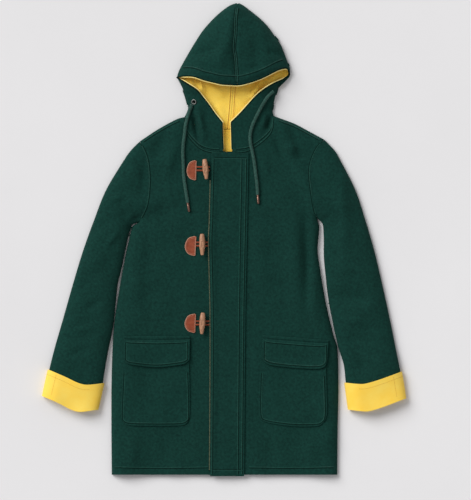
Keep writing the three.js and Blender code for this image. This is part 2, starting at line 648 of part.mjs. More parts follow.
for (const hand of SIDES) {
  const other = hand === "right" ? [] : [["hood_lining_right", beside(hand)]];
  const cloth = [["hood_right", BELOW], ["hood_left", BELOW]];
  fit(`hood_lining_${hand}`, hoodHalf(hand, hoodInside), "lining", [...cloth, ...other]);
}

// Neck lining: shows on the back panel's inside between the hood's front edges.
const neckLining = patch(
  straight([-34, 190], [-34, 275]),
  straight([54, 190], [54, 275]),
  straight([-34, 190], [54, 190]),
  straight([-34, 275], [54, 275]),
);
const liningRow = (v) => [0, 0.5, 1].map((u) => new THREE.Vector3(...neckLining(u, v), CLOTH + GAP + LINING));
add("neck_lining", wall([0, 1].map(liningRow), UP, LINING), "lining");

const LAID = 0.7; // air under a piece laid on a panel, whose facets are coarser than its curve

// A flat piece that lies on the fronts: its plan moved out by its lift.
function laidOn(plan, rows, columns, lift, thickness) {
  const grid = rows.map((v) =>
    columns.map((u) => {
      const [x, y] = plan(u, v);
      return new THREE.Vector3(x, y, top(x, y) + lift(u, v) + thickness);
    }),
  );
  return wall(grid, UP, thickness);
}
const steps = (count) => Array.from({ length: count + 1 }, (_, i) => i / count);

// Pockets: patches with two rounded corners, sewn on the fronts.
const POCKETS = {
  right: {
    side: curve([-250, -247], [-254, -340], [-257, -430], [-255, -450]),
    inner: curve([-90, -247], [-87, -340], [-86, -430], [-89, -450]),
    bottom: curve([-255, -450], [-247, -461], [-228, -465], [-170, -466], [-113, -465], [-95, -460], [-89, -450]),
    mouth: curve([-250, -247], [-170, -247], [-90, -247]),
    flapTop: curve([-250, -241.5], [-170, -241.5], [-86, -241.5]),
    flapBottom: curve([-249, -300], [-241, -310], [-215, -315], [-169, -319], [-125, -315], [-99, -310], [-87, -300]),
  },
  left: {
    side: curve([253, -261], [255, -340], [257, -428], [252, -452]),
    inner: curve([97, -250], [89, -340], [87, -425], [93, -450]),
    bottom: curve([252, -452], [240, -464], [222, -467], [175, -467], [126, -461], [104, -456], [93, -450]),
    mouth: curve([253, -261], [175, -255], [97, -250]),
    flapTop: curve([261, -251.5], [179, -245], [97, -239]),
    flapBottom: curve([257, -303], [250, -318], [228, -323], [175, -320.5], [125, -315], [106, -309], [97, -300]),
  },
};
const ON_POCKET = LAID + CLOTH + LAID;
const FLAP_PROFILE = [
  { share: 0, lift: LAID },
  { share: 0.03, lift: 2.6 },
  { share: 0.085, lift: 2.6 },
  { share: 0.12, lift: 1 },
  { share: 0.2, lift: ON_POCKET },
  { share: 1, lift: ON_POCKET },
];
for (const hand of SIDES) {
  const { side, inner, bottom, mouth, flapTop, flapBottom } = POCKETS[hand];
  const bag = patch(whole(side), whole(inner), whole(mouth), whole(bottom));
  fit(`pocket_${hand}`, laidOn(bag, steps(8), steps(10), () => LAID, CLOTH), "cloth", [[`front_${hand}`, ABOVE]]);
  const [a, b] = [0, 1].map((t) => curve(flapTop.getPointAt(t).toArray(), flapBottom.getPointAt(t).toArray()));
  const flap = patch(whole(a), whole(b), whole(flapTop), whole(flapBottom));
  const lift = (u, v) => {
    const next = Math.max(1, FLAP_PROFILE.findIndex((row) => row.share >= v));
    const [low, high] = [FLAP_PROFILE[next - 1], FLAP_PROFILE[next]];
    return mix(low.lift, high.lift, (v - low.share) / (high.share - low.share));
  };
  const rows = [...FLAP_PROFILE.map((row) => row.share), 0.45, 0.7, 0.9].sort((p, q) => p - q);
  const below = [`front_${hand}`, `pocket_${hand}`].map((name) => [name, ABOVE]);
  fit(`flap_${hand}`, laidOn(flap, rows, steps(10), lift, CLOTH), "cloth", below);
}

// Placket: a strip over the closure, and the edge of the zip that comes out beside it.
const PLACKET = {
  right: curve([-31, 217], [-35, 49], [-37, -14], [-33, -209], [-34.5, -591]),
  left: curve([61, 215.5], [58, 49], [53, -209], [50, -591]),
  top: curve([-31, 217], [61, 215.5]),
  hem: curve([-34.5, -591], [50, -591]),
};
const ZIP = { shows: 3.5, under: 6, thickness: 1.2, top: 150, bottom: -578 };
const zipEdge = (offset) => (t) => {
  const y = mix(ZIP.top, ZIP.bottom, t);
  const share = (217 - y) / (217 + 591);
  return new THREE.Vector2(PLACKET.right.getPointAt(share).x + offset, y);
};
const zipEnd = (t) => (u) => zipEdge(mix(-ZIP.shows, ZIP.under, u))(t);
const zipPlan = patch(zipEdge(-ZIP.shows), zipEdge(ZIP.under), zipEnd(0), zipEnd(1));
fit("zip_edge", laidOn(zipPlan, steps(14), [0, 1], () => LAID, ZIP.thickness), "brass", [["front_right", ABOVE]]);
const placketPlan = patch(whole(PLACKET.right), whole(PLACKET.left), whole(PLACKET.top), whole(PLACKET.hem));
const placketLift = (u) => LAID + (ZIP.thickness + LAID) * (1 - smooth(u, 0.1, 0.24));
const placketColumns = [0, 0.1, 0.17, 0.24, 0.6, 1];
const placket = laidOn(placketPlan, steps(16), placketColumns, placketLift, CLOTH);
const placketOver = ["front_right", "front_left", "zip_edge", "hood_right", "hood_left"];
fit("placket", placket, "cloth", placketOver.map((name) => [name, ABOVE]));

// Toggle fastenings, from the neck down: places seen from above.
const FASTENINGS = [
  { tip: [-93, 171], flatTop: [-69.5, 198], flatEnd: [-71, 148], toggleTop: [-49, 201], toggleEnd: [-44, 151] },
  { tip: [-97.5, -18], flatTop: [-70, 8.5], flatEnd: [-72.5, -41], toggleTop: [-55, 14], toggleEnd: [-54.5, -39] },
  { tip: [-98, -211], flatTop: [-71, -185.5], flatEnd: [-73, -233.5], toggleTop: [-53, -183], toggleEnd: [-56, -236.5] },
];
const THONG = { wide: 4.2, thick: 2.4, apart: 8.5 };
const TOGGLE_RADII = [
  { along: 0, radius: 3.9 },
  { along: 0.03, radius: 5.2 },
  { along: 0.2, radius: 6.6 },
  { along: 0.45, radius: 7.6 },
  { along: 0.6, radius: 7.4 },
  { along: 0.85, radius: 5 },
  { along: 0.97, radius: 4 },
  { along: 1, radius: 3 },
];
const GROOVE = { length: 15, width: 4, depth: 1.6 };

// Rings of an oval section along a path, flat side down on the cloth.
function cordRings(path, wide, thick, sides) {
  return path.map((point, i) => {
    const along = path[Math.min(i + 1, path.length - 1)].clone().sub(path[Math.max(i - 1, 0)]).normalize();
    const across = new THREE.Vector3(0, 0, 1).cross(along).normalize();
    const up = along.clone().cross(across);
    return Array.from({ length: sides }, (_, k) => {
      const angle = (2 * Math.PI * k) / sides;
      return point
        .clone()
        .addScaledVector(across, (wide / 2) * Math.cos(angle))
        .addScaledVector(up, (thick / 2) * Math.sin(angle));
    });
  });
}

// A leather strand goes out, turns round under the toggle and comes back.
function bight(from, to, floor) {
  const [start, end] = [new THREE.Vector2(...from), new THREE.Vector2(...to)];
  const along = end.clone().sub(start).normalize();
  const across = new THREE.Vector2(-along.y, along.x);
  const radius = THONG.apart / 2;
  const bend = end.clone().addScaledVector(along, -radius);
  const plan = [start.clone().addScaledVector(across, radius)];
  for (let k = 0; k <= 6; k++) {
    const angle = Math.PI / 2 - (Math.PI * k) / 6;
    plan.push(bend.clone().addScaledVector(along, radius * Math.cos(angle)).addScaledVector(across, radius * Math.sin(angle)));
  }
  plan.push(start.clone().addScaledVector(across, -radius));
  const path = plan.map(({ x, y }) => new THREE.Vector3(x, y, top(x, y) + floor + THONG.thick / 2));
  return capped(cordRings(path, THONG.wide, THONG.thick, 6));
}

FASTENINGS.forEach(({ tip, flatTop, flatEnd, toggleTop, toggleEnd }, n) => {
  const name = n + 1;
  const round = new THREE.SplineCurve(
    [flatTop, [mix(flatTop[0], tip[0], 0.7), flatTop[1] - 6], tip, [mix(flatEnd[0], tip[0], 0.7), flatEnd[1] + 6], flatEnd].map(
      (p) => new THREE.Vector2(...p),
    ),
  );
  const flat = curve(flatTop, flatEnd);
  const edges = [round, flat].map((line) => (t) => line.getPointAt(mix(0.03, 0.97, t)));
  const cap = (t) => (u) => edges[0](t).lerp(edges[1](t), u);
  const moon = patch(edges[0], edges[1], cap(0), cap(1));
  fit(`toggle_patch_${name}`, laidOn(moon, steps(7), steps(2), () => LAID, LEATHER), "leather", [["front_right", ABOVE]]);

  const middle = [0, 1].map((k) => mix(toggleTop[k], toggleEnd[k], 0.48));
  const apart = THONG.wide / 2 + GAP;
  const patchEdge = [Math.max(flatTop[0], flatEnd[0]) + GAP, middle[1]];
  const placketEdge = [PLACKET.right.getPointAt((217 - middle[1]) / 808).x - ZIP.shows - GAP, middle[1]];
  add(`thong_${name}`, bight(patchEdge, [middle[0] - apart, middle[1]], 2 * GAP), "leather");
  if (placketEdge[0] - middle[0] > 9)
    add(`loop_${name}`, bight(placketEdge, [middle[0] + apart, middle[1]], 2 * GAP), "leather");

  const [upper, lower] = [toggleTop, toggleEnd].map(
    ([x, y]) => new THREE.Vector3(x, y, top(x, y) + 3 * GAP + THONG.thick + TOGGLE_RADII[3].radius),
  );
  const axis = lower.clone().sub(upper);
  const rings = TOGGLE_RADII.map(({ along, radius }) => {
    const centre = upper.clone().addScaledVector(axis, along);
    const across = new THREE.Vector3(0, 0, 1).cross(axis).normalize();
    return Array.from({ length: 12 }, (_, k) => {
      const angle = (2 * Math.PI * k) / 12;
      const out = across.clone().multiplyScalar(radius * Math.cos(angle));
      return centre.clone().add(out).add(new THREE.Vector3(0, 0, radius * Math.sin(angle)));
    });
  });
  const slot = new wasm.Manifold.cube([GROOVE.width, GROOVE.length, 6], true);
  const turn = (Math.atan2(axis.y, axis.x) * 180) / Math.PI + 90;
  const centre = upper.clone().addScaledVector(axis, 0.48);
  const height = centre.z + TOGGLE_RADII[3].radius + 3 - GROOVE.depth;
  const placed = slot.rotate([0, 0, turn]).translate([centre.x, centre.y, height]);
  add(`toggle_${name}`, geometryFrom(solid(capped(rings)).subtract(placed)), "wood");
});

// Eyelet: a rolled ring seated on the hood's front, square to the cloth.
const EYELET = { at: [-75, 344], outer: 6.5, hole: 2.25, rise: 1.4 };
const rim = Array.from({ length: 9 }, (_, k) => {
  const angle = (2 * Math.PI * k) / 8;
  const middle = (EYELET.outer + EYELET.hole) / 2;
  const wide = (EYELET.outer - EYELET.hole) / 2;
  return new THREE.Vector2(middle + wide * Math.cos(angle), (EYELET.rise / 2) * Math.sin(angle));
});
const eyelet = new THREE.LatheGeometry(rim, 16);
const eyeletUp = faceNormal(hoodTop, ...EYELET.at, 4);
eyelet.applyQuaternion(new THREE.Quaternion().setFromUnitVectors(new THREE.Vector3(0, 1, 0), eyeletUp));
const eyeletSeat = new THREE.Vector3(...EYELET.at, hoodTop(...EYELET.at));
eyeletSeat.addScaledVector(eyeletUp, EYELET.rise / 2 + 1.9);
eyelet.translate(...eyeletSeat.toArray());
fit("eyelet", eyelet, "brass", [["hood_right", ABOVE]]);

// Drawcords: two free ends, each with a metal tip.
const CORD = 8.5;
const CORD_FLAT = 6.5; // the cord lies a little flattened
const TIP = { length: 23, diameter: 6.5 };
const CORDS = {
  right: [
    [-81, 337], [-89, 314], [-96, 288], [-99, 262], [-102, 240], [-103, 215], [-102, 190],
    [-101, 160], [-97, 130], [-91, 92],
  ],
  left: [
    [124, 371], [110, 358], [98, 340], [88, 322], [77, 300], [69, 280], [65, 260], [66, 240],
    [70, 222], [75, 196], [79, 165], [82, 140], [84, 112],
  ],
};
for (const hand of SIDES) {
  const points = CORDS[hand];
  const laid = ([x, y], drop = 0) => {
    const near = [-4, 0, 4].map((d) => hoodTop(x + d, y));
    return new THREE.Vector3(x, y, Math.max(...near) + drop + 1.2);
  };
  const run = new THREE.CatmullRomCurve3(points.map((p) => laid(p, CORD_FLAT / 2)));
  const path = run.getSpacedPoints(Math.round(run.getLength() / 20));
  const rings = cordRings(path, CORD, CORD_FLAT, 8);
  const cordOver = ["placket", "eyelet", `front_${hand}`, `hood_${hand}`];
  fit(`drawcord_${hand}`, capped(rings), "cord", cordOver.map((name) => [name, ABOVE]));
  const [last, before] = [path.at(-1), path.at(-2)];
  const heading = last.clone().sub(before).normalize();
  const start = last.clone().addScaledVector(heading, GAP);
  const tipPath = [0, 1].map((t) => start.clone().addScaledVector(heading, t * TIP.length));
  add(`cord_tip_${hand}`, capped(cordRings(tipPath, TIP.diameter, TIP.diameter, 10)), "brass");
}

export default coat;
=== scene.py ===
import math

import bpy
import numpy as np
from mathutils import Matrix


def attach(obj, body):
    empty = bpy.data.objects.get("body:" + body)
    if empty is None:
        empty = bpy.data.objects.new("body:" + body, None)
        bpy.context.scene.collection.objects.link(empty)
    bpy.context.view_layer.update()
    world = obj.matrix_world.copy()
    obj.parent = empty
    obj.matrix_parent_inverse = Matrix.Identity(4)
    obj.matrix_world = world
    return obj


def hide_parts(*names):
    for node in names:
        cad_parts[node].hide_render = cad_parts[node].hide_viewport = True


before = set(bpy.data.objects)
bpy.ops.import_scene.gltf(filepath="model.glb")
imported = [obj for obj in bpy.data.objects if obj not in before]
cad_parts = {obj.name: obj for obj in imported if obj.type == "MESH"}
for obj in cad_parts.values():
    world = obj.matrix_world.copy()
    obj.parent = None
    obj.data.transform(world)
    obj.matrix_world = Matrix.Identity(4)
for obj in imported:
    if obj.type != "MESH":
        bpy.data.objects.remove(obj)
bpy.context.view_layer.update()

# Table, light and view
# The coat lies on a pale table and is seen from straight above, with soft light from the upper left.
# The frame takes in the whole coat with a narrow margin all round.
scene = bpy.context.scene
scene.view_settings.view_transform = "Standard"


def tint(red, green, blue):
    """A colour as it is read off a screen, made ready for a material."""
    parts = [c / 255 for c in (red, green, blue)]
    return tuple(c / 12.92 if c < 0.04045 else ((c + 0.055) / 1.055) ** 2.4 for c in parts) + (1.0,)


def new_material(name, roughness, **sockets):
    material = bpy.data.materials.new(name)
    material.use_nodes = True
    shader = material.node_tree.nodes["Principled BSDF"]
    shader.inputs["Roughness"].default_value = roughness
    for socket, value in sockets.items():
        shader.inputs[socket.replace("_", " ")].default_value = value
    return material, shader


def mottled(name, roughness, dark, light, size, **sockets):
    """A material whose colour wanders between two tints in patches of about a size in metres."""
    material, shader = new_material(name, roughness, **sockets)
    tree = material.node_tree
    where = tree.nodes.new("ShaderNodeTexCoord")
    noise = tree.nodes.new("ShaderNodeTexNoise")
    noise.inputs["Scale"].default_value = 1 / size
    noise.inputs["Detail"].default_value = 6
    noise.inputs["Roughness"].default_value = 0.65
    ramp = tree.nodes.new("ShaderNodeValToRGB")
    ramp.color_ramp.elements[0].position = 0.28
    ramp.color_ramp.elements[1].position = 0.72
    ramp.color_ramp.elements[0].color = tint(*dark)
    ramp.color_ramp.elements[1].color = tint(*light)
    tree.links.new(where.outputs["Object"], noise.inputs["Vector"])
    tree.links.new(noise.outputs["Fac"], ramp.inputs["Fac"])
    tree.links.new(ramp.outputs["Color"], shader.inputs["Base Color"])
    return material, shader, where, noise


table_mesh = bpy.data.meshes.new("table")
table_mesh.from_pydata([(-6, -6, 0), (6, -6, 0), (6, 6, 0), (-6, 6, 0)], [], [(0, 1, 2, 3)])
table = bpy.data.objects.new("table", table_mesh)
scene.collection.objects.link(table)
table_paint, *_ = mottled("table_paint", 0.9, (231, 230, 231), (235, 234, 235), 0.8)
table_mesh.materials.append(table_paint)

camera = bpy.data.objects.new("camera", bpy.data.cameras.new("camera"))
camera.data.type = "ORTHO"
camera.data.ortho_scale = 1.25
camera.location = (0.0285, -0.02625, 2.0)
scene.collection.objects.link(camera)
scene.camera = camera

window = bpy.data.objects.new("window", bpy.data.lights.new("window", "SUN"))
window.data.energy = 2.65
window.data.angle = math.radians(38)
window.rotation_euler = (math.radians(-30), math.radians(-46), 0)
scene.collection.objects.link(window)
room = bpy.data.worlds.new("room")
room.use_nodes = True
room.node_tree.nodes["Background"].inputs["Color"].default_value = (1.0, 0.995, 1.0, 1.0)
room.node_tree.nodes["Background"].inputs["Strength"].default_value = 0.45
scene.world = room

# Back panel
# One piece of dark green brushed coating, flat on the table, sewn to the fronts at sides and shoulders.
# It is seen only through the neck, at the hem's edge and from below.
CLOTH = 2.5
AIR = 0.3
FOLD = 5.0
HEM_Y = -588
HANDS = ("right", "left")


def between(low, high, share):
    return low + (high - low) * share


def smooth(value, low, high):
    t = np.clip((np.asarray(value, float) - low) / (high - low), 0, 1)
    return t * t * (3 - 2 * t)


def line(*points):
    """A smooth line through the points, as a function of the share of its length."""
    through = np.array(points, float)
    last = len(through) - 1
    padded = np.vstack([through[:1], through, through[-1:]])
    steps = np.linspace(0, last, 60 * last + 1)
    first = np.minimum(steps.astype(int), last - 1)
    w = (steps - first)[:, None]
    a, b, c, d = (padded[first + k] for k in range(4))
    leave = (c - a) / 2
    arrive = (d - b) / 2
    cubic = (2 * b - 2 * c + leave + arrive) * w**3 + (-3 * b + 3 * c - 2 * leave - arrive) * w**2
    dense = cubic + leave * w + b
    reach = np.concatenate([[0], np.cumsum(np.linalg.norm(np.diff(dense, axis=0), axis=1))])

    def at(share):
        along = np.clip(share, 0, 1) * reach[-1]
        return np.stack([np.interp(along, reach, dense[:, k]) for k in range(dense.shape[1])], -1)

    at.length = reach[-1]
    return at


def back_to_front(way):
    turned = lambda share: way(1 - np.asarray(share, float))
    turned.length = way.length
    return turned


# Edges seen from above, in millimetres, with x to the wearer's left; the folded ones turn down to the table
EDGES = {
    "right": {
        "side": line((-281, -588), (-282, -451), (-281, -326), (-276, -221), (-268, -162), (-253, -72),
                     (-237, 4), (-229, 31), (-213, 43)),
        "armhole": line((-213, 43), (-195, 82), (-188, 124), (-188, 172), (-195, 210), (-211, 245)),
        "shoulder": line((-211, 245), (-166, 275), (-120, 300), (-99, 306)),
        "neck_seam": line((-99, 306), (-98, 284), (-92, 265), (-78, 247), (-59, 230), (-33, 221), (-2, 220)),
        "back_neck": line((-99, 306), (-62, 285), (-22, 277), (14, 276)),
        "sleeve_outer": line((-211, 245), (-232, 224), (-250, 199), (-295, 124), (-325, 49), (-352, -26),
                             (-375, -101), (-402, -196), (-425, -276), (-441, -341), (-452, -392)),
        "sleeve_inner": line((-213, 43), (-232, 34), (-240, 5), (-256, -71), (-266, -114), (-271, -161),
                             (-278, -222), (-289, -275), (-300, -338), (-304, -365), (-318, -425)),
        "sleeve_end": line((-452, -392), (-413, -410), (-384, -425), (-363, -431), (-340, -429),
                           (-318, -425)),
        "hood_side": line((-99, 306), (-90, 329), (-95, 354), (-103, 376), (-112, 394), (-118, 405)),
        "crown_side": line((-118, 405), (-112, 424), (-90, 464), (-72, 494), (-52, 524), (-25, 554),
                           (-2, 574), (16, 586), (34, 592)),
    },
    "left": {
        "side": line((283, -588), (284, -476), (286, -376), (284, -279), (274, -241), (255, -161),
                     (238, -60), (234, -26), (236, 4), (238, 32), (233, 52)),
        "armhole": line((233, 52), (225, 82), (218, 124), (214, 168), (219, 199), (232, 228), (250, 250)),
        "shoulder": line((250, 250), (211, 271), (177, 289), (140, 303), (124, 309)),
        "neck_seam": line((124, 309), (124, 290), (117, 269), (99, 250), (77, 234), (55, 223), (20, 220)),
        "back_neck": line((124, 309), (90, 288), (50, 278), (14, 276)),
        "sleeve_outer": line((250, 250), (275, 224), (290, 199), (328, 124), (353, 49), (375, -26),
                             (393, -101), (414, -196), (430, -276), (443, -341), (452, -398)),
        "sleeve_inner": line((233, 52), (246, 38), (249, 4), (249, -30), (251, -66), (262, -159),
                             (279, -243), (287, -275), (299, -313), (304, -358), (313, -425)),
        "sleeve_end": line((452, -398), (403, -417), (364, -429), (340, -429), (313, -425)),
        "hood_side": line((124, 309), (121, 326), (126, 349), (132, 372), (138, 387), (150, 397), (164, 412)),
        "crown_side": line((164, 412), (165, 424), (161, 437), (143, 484), (126, 509), (108, 534),
                           (88, 554), (63, 574), (47, 586), (34, 592)),
    },
}
FOLDED = ("side", "shoulder", "sleeve_outer", "sleeve_inner", "hood_side", "crown_side")
fold_lines = [EDGES[hand][name](np.linspace(0, 1, 81)) for hand in HANDS for name in FOLDED]
fold_from = np.concatenate([points[:-1] for points in fold_lines])
fold_step = np.concatenate([points[1:] - points[:-1] for points in fold_lines])


def fold_distance(x, y):
    """How far a place is from the nearest folded edge."""
    places = np.stack([np.ravel(x), np.ravel(y)], -1)
    nearest = np.empty(len(places))
    for begin in range(0, len(places), 3000):
        away = places[begin : begin + 3000, None] - fold_from[None]
        share = np.clip((away * fold_step).sum(-1) / (fold_step**2).sum(-1), 0, 1)
        away -= share[..., None] * fold_step
        nearest[begin : begin + 3000] = np.sqrt((away**2).sum(-1).min(1))
    return nearest.reshape(np.shape(x))


def cuff_lift(x, y):
    return np.where(np.abs(x) > 290, 3.8 * smooth(-y, 250, 315), 0)


def under(x, y):
    """Outer face of the lower layer, flat on the table and turned up to the folded edges."""
    inwards = 1 - np.minimum(fold_distance(x, y) / FOLD, 1)
    return cuff_lift(x, y) + (FOLD - AIR / 2) * (1 - np.sqrt(1 - inwards * inwards))


def chained(*spans):
    """Lines end to end. A span is a line, the shares where it starts and ends, and the stretch used."""

    def at(v):
        v = np.asarray(v, float)
        out = np.zeros(v.shape + (2,))
        for way, low, high, start, end in spans:
            here = v >= low
            share = np.clip((v - low) / (high - low), 0, 1)
            out[here] = way(between(start, end, share))[here]
        return out

    return at


def straight(a, b):
    a, b = np.array(a, float), np.array(b, float)
    return lambda t: a + (b - a) * np.asarray(t, float)[..., None]


def patch(a, b, start, end):
    """Fills the plan between four sides: a(v) and b(v) run alongside, start(u) and end(u) across."""
    a0, a1, b0, b1 = a(np.array(0.0)), a(np.array(1.0)), b(np.array(0.0)), b(np.array(1.0))

    def at(u, v):
        uu, vv = u[..., None], v[..., None]
        alongside = a(v) * (1 - uu) + b(v) * uu
        across = start(u) * (1 - vv) + end(u) * vv
        corners = (a0 * (1 - uu) + b0 * uu) * (1 - vv) + (a1 * (1 - uu) + b1 * uu) * vv
        return alongside + across - corners

    return at


def spread(count, low=0.0, high=1.0):
    """Shares from low to high that lie closer together towards both ends."""
    return between(low, high, (1 - np.cos(np.linspace(0, math.pi, count))) / 2)


def laid_grid(plan, face, us, vs, seam=0.15):
    """Rows of points on a face, with the air of a seam taken off the two long sides."""
    v, u = np.meshgrid(vs, us, indexing="ij")
    sides = plan(np.stack([np.zeros(len(vs)), np.ones(len(vs))], 1), np.stack([vs, vs], 1))
    wide = np.maximum(np.linalg.norm(sides[:, 1] - sides[:, 0], axis=-1), 2 * seam + 0.01)[:, None]
    place = plan(np.clip(u, seam / wide, 1 - seam / wide), v)
    x, y = place[..., 0], place[..., 1]
    return np.stack([x, y, face(x, y)], -1)


def unit(vectors):
    return vectors / np.maximum(np.linalg.norm(vectors, axis=-1, keepdims=True), 1e-9)


def sheet_shell(grid, facing, thick, rounded=0.0):
    """A closed sheet of cloth from rows of points on its outer face, which looks up or down."""
    rows, count = grid.shape[:2]
    normal = unit(np.cross(np.gradient(grid, axis=1), np.gradient(grid, axis=0)))
    normal *= facing * np.sign(normal[rows // 2, count // 8, 2])
    x, y, z = np.moveaxis(grid, -1, 0)
    level = (np.abs(z - FOLD - cuff_lift(x, y)) < 1.2) & (fold_distance(x, y) < 1)
    normal[..., 2] = np.where(level, 0, normal[..., 2])
    inner = grid - unit(normal) * thick
    number = np.arange(rows * count).reshape(rows, count)
    ring = np.concatenate([number[0, :-1], number[:-1, -1], number[-1, :0:-1], number[:0:-1, 0]])
    outer_points, inner_points = grid.reshape(-1, 3), inner.reshape(-1, 3)
    inside = np.concatenate([number[1, :-1], number[:-1, -2], number[-2, :0:-1], number[:0:-1, 1]])
    away = unit(outer_points[ring] - outer_points[inside])
    middle = (outer_points[ring] + inner_points[ring]) / 2 + away * rounded * thick
    points = np.concatenate([outer_points, inner_points, middle])
    total = rows * count
    quads = np.stack([number[:-1, :-1], number[:-1, 1:], number[1:, 1:], number[1:, :-1]], -1).reshape(-1, 4)
    after = np.roll(np.arange(len(ring)), -1)
    rim = np.arange(len(ring)) + 2 * total
    upper = np.stack([ring[after], ring, rim, rim[after]], -1)
    lower = np.stack([rim[after], rim, ring + total, ring[after] + total], -1)
    return outwards(points, np.concatenate([quads, quads[:, ::-1] + total, upper, lower]))


def outwards(points, quads):
    """Turns the faces of a closed shell so that they look out of it."""
    a, b, c, d = (points[quads[:, k]] for k in range(4))
    volume = (a * np.cross(b, c)).sum() + (a * np.cross(c, d)).sum()
    return points, (quads if volume > 0 else quads[:, ::-1])


def make(name, shells, material, replaces=(), sharp=50):
    """Joins closed shells into one piece of the coat, in its place, with its material."""
    offset, points, faces = 0, [], []
    for shell_points, quads in shells:
        points.append(shell_points)
        faces += [tuple(dict.fromkeys(int(i) + offset for i in quad)) for quad in quads]
        offset += len(shell_points)
    mesh = bpy.data.meshes.new(name)
    mesh.from_pydata((np.concatenate(points) / 1000).tolist(), [], faces)
    mesh.update()
    mesh.shade_smooth()
    mesh.set_sharp_from_angle(angle=math.radians(sharp))
    mesh.materials.append(material)
    piece = bpy.data.objects.new(name, mesh)
    scene.collection.objects.link(piece)
    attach(piece, "root")
    if replaces:
        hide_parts(*replaces)
    return piece


def grain(material, shader, height_socket, strength, depth):
    tree = material.node_tree
    bump = tree.nodes.new("ShaderNodeBump")
    bump.inputs["Strength"].default_value = strength
    bump.inputs["Distance"].default_value = depth
    tree.links.new(height_socket, bump.inputs["Height"])
    tree.links.new(bump.outputs["Normal"], shader.inputs["Normal"])


GREEN_DARK = (7, 40, 35)
GREEN_LIGHT = (18, 61, 53)
coating, coating_shader, where, _ = mottled(
    "brushed_coating", 0.92, GREEN_DARK, GREEN_LIGHT, 0.006,
    Sheen_Weight=0.14, Sheen_Roughness=0.5, Specular_IOR_Level=0.12,
)
coating_shader.inputs["Sheen Tint"].default_value = tint(110, 160, 145)
nap = coating.node_tree.nodes.new("ShaderNodeTexNoise")
nap.inputs["Scale"].default_value = 900
nap.inputs["Detail"].default_value = 5
nap.inputs["Roughness"].default_value = 0.75
coating.node_tree.links.new(where.outputs["Object"], nap.inputs["Vector"])
grain(coating, coating_shader, nap.outputs["Fac"], 0.55, 0.0009)


def body_side(hand):
    edge = EDGES[hand]
    return chained((edge["side"], 0, 0.6, 0, 1), (edge["armhole"], 0.6, 1, 0, 1))


across_shoulders = chained(
    (EDGES["right"]["shoulder"], 0, 0.24, 0, 1),
    (EDGES["right"]["back_neck"], 0.24, 0.47, 0, 1),
    (back_to_front(EDGES["left"]["back_neck"]), 0.47, 0.72, 0, 1),
    (back_to_front(EDGES["left"]["shoulder"]), 0.72, 1, 0, 1),
)
back_hem = straight((-281, HEM_Y), (283, HEM_Y))
back_plan = patch(body_side("right"), body_side("left"), back_hem, across_shoulders)
back_rows = np.concatenate([np.linspace(0, 0.9, 60), spread(24, 0.905, 1.0)[1:]])
back_shell = sheet_shell(laid_grid(back_plan, under, spread(90), back_rows), -1, CLOTH)
back = make("back_panel", [back_shell], coating, ["back"])

# Two fronts
# Each front is one panel of coating from hem to shoulder; they meet under the placket.
# The hem is turned up and held by one row of stitches, and the shoulder seam is topstitched.
SIDE = {"right": -1, "left": 1}
# How far the upper layer stands off the table by y; then ridges and troughs as start, end, width and height
BODY_LOFT = ((-592, 7.5), (-430, 12), (-200, 16), (60, 17), (220, 12), (320, 13), (410, 16))
SLEEVE_LOFT = ((-432, 15), (-250, 19), (-20, 22), (140, 20), (250, 14))
FOLDS = (
    ((138, 296), (168, 226), 15, 7), ((168, 226), (222, 104), 17, 6), ((166, 282), (188, 210), 12, -4),
    ((-140, 288), (-168, 214), 15, -4), ((-176, 86), (-232, 96), 17, 5), ((-250, 60), (-318, 30), 16, -4),
    ((-290, -60), (-352, -110), 18, -4), ((298, 150), (302, 10), 17, 5), ((262, 62), (240, 100), 16, 5),
    ((262, 20), (282, -40), 13, -4), ((270, -140), (345, -150), 15, -5), ((318, -260), (345, -310), 16, -5),
    ((-66, 330), (-50, 262), 10, 4), ((-74, 300), (-62, 250), 7, -4), ((110, 302), (96, 268), 8, -4),
)
CREASES = (
    ((-200, 60), (-236, 44), 7, -2.6), ((-246, 110), (-300, 96), 9, 2.2), ((-262, 20), (-296, -18), 8, 2.2),
    ((-300, -150), (-352, -178), 9, -2.2), ((-312, -212), (-376, -232), 10, 2),
    ((-330, -270), (-396, -292), 9, -2),
    ((240, 40), (268, 62), 7, -2.6), ((268, 96), (318, 76), 9, 2.2), ((276, -68), (330, -84), 9, 2.4),
    ((290, -196), (352, -214), 10, 2.2), ((306, -234), (372, -262), 8, -2.2),
    ((340, -296), (404, -312), 9, 2),
    ((196, 96), (204, -60), 16, -2.4), ((222, -70), (214, -210), 18, 2.2), ((-196, 60), (-178, -80), 18, -2),
    ((-222, -90), (-206, -220), 18, 2), ((-60, 40), (-72, -150), 20, 1.4), ((86, 60), (96, -160), 20, 1.4),
    ((-150, -480), (-138, -580), 18, -1.6), ((-226, -480), (-232, -584), 15, 1.8),
    ((120, -480), (112, -582), 18, -1.6),
    ((214, -480), (222, -584), 16, 1.8), ((-120, 250), (-146, 150), 12, 2.2), ((90, 232), (112, 150), 12, 2),
    ((206, 84), (209, -200), 12, -4.2), ((178, 60), (184, -190), 20, 2.4), ((-196, 200), (-206, 110), 9, -2),
    ((-79, 314), (-66, 256), 6, -4.5), ((-64, 316), (-52, 266), 7, 3), ((118, 308), (107, 272), 6, -5),
    ((106, 312), (92, 262), 7, 3), ((126, 250), (150, 196), 8, -2.6),
)


def loft_of(rows, y):
    loft = np.full(np.shape(y), float(rows[0][1]))
    for (y0, h0), (y1, h1) in zip(rows, rows[1:]):
        loft = np.where(y >= y0, between(h0, h1, smooth(y, y0, y1)), loft)
    return loft


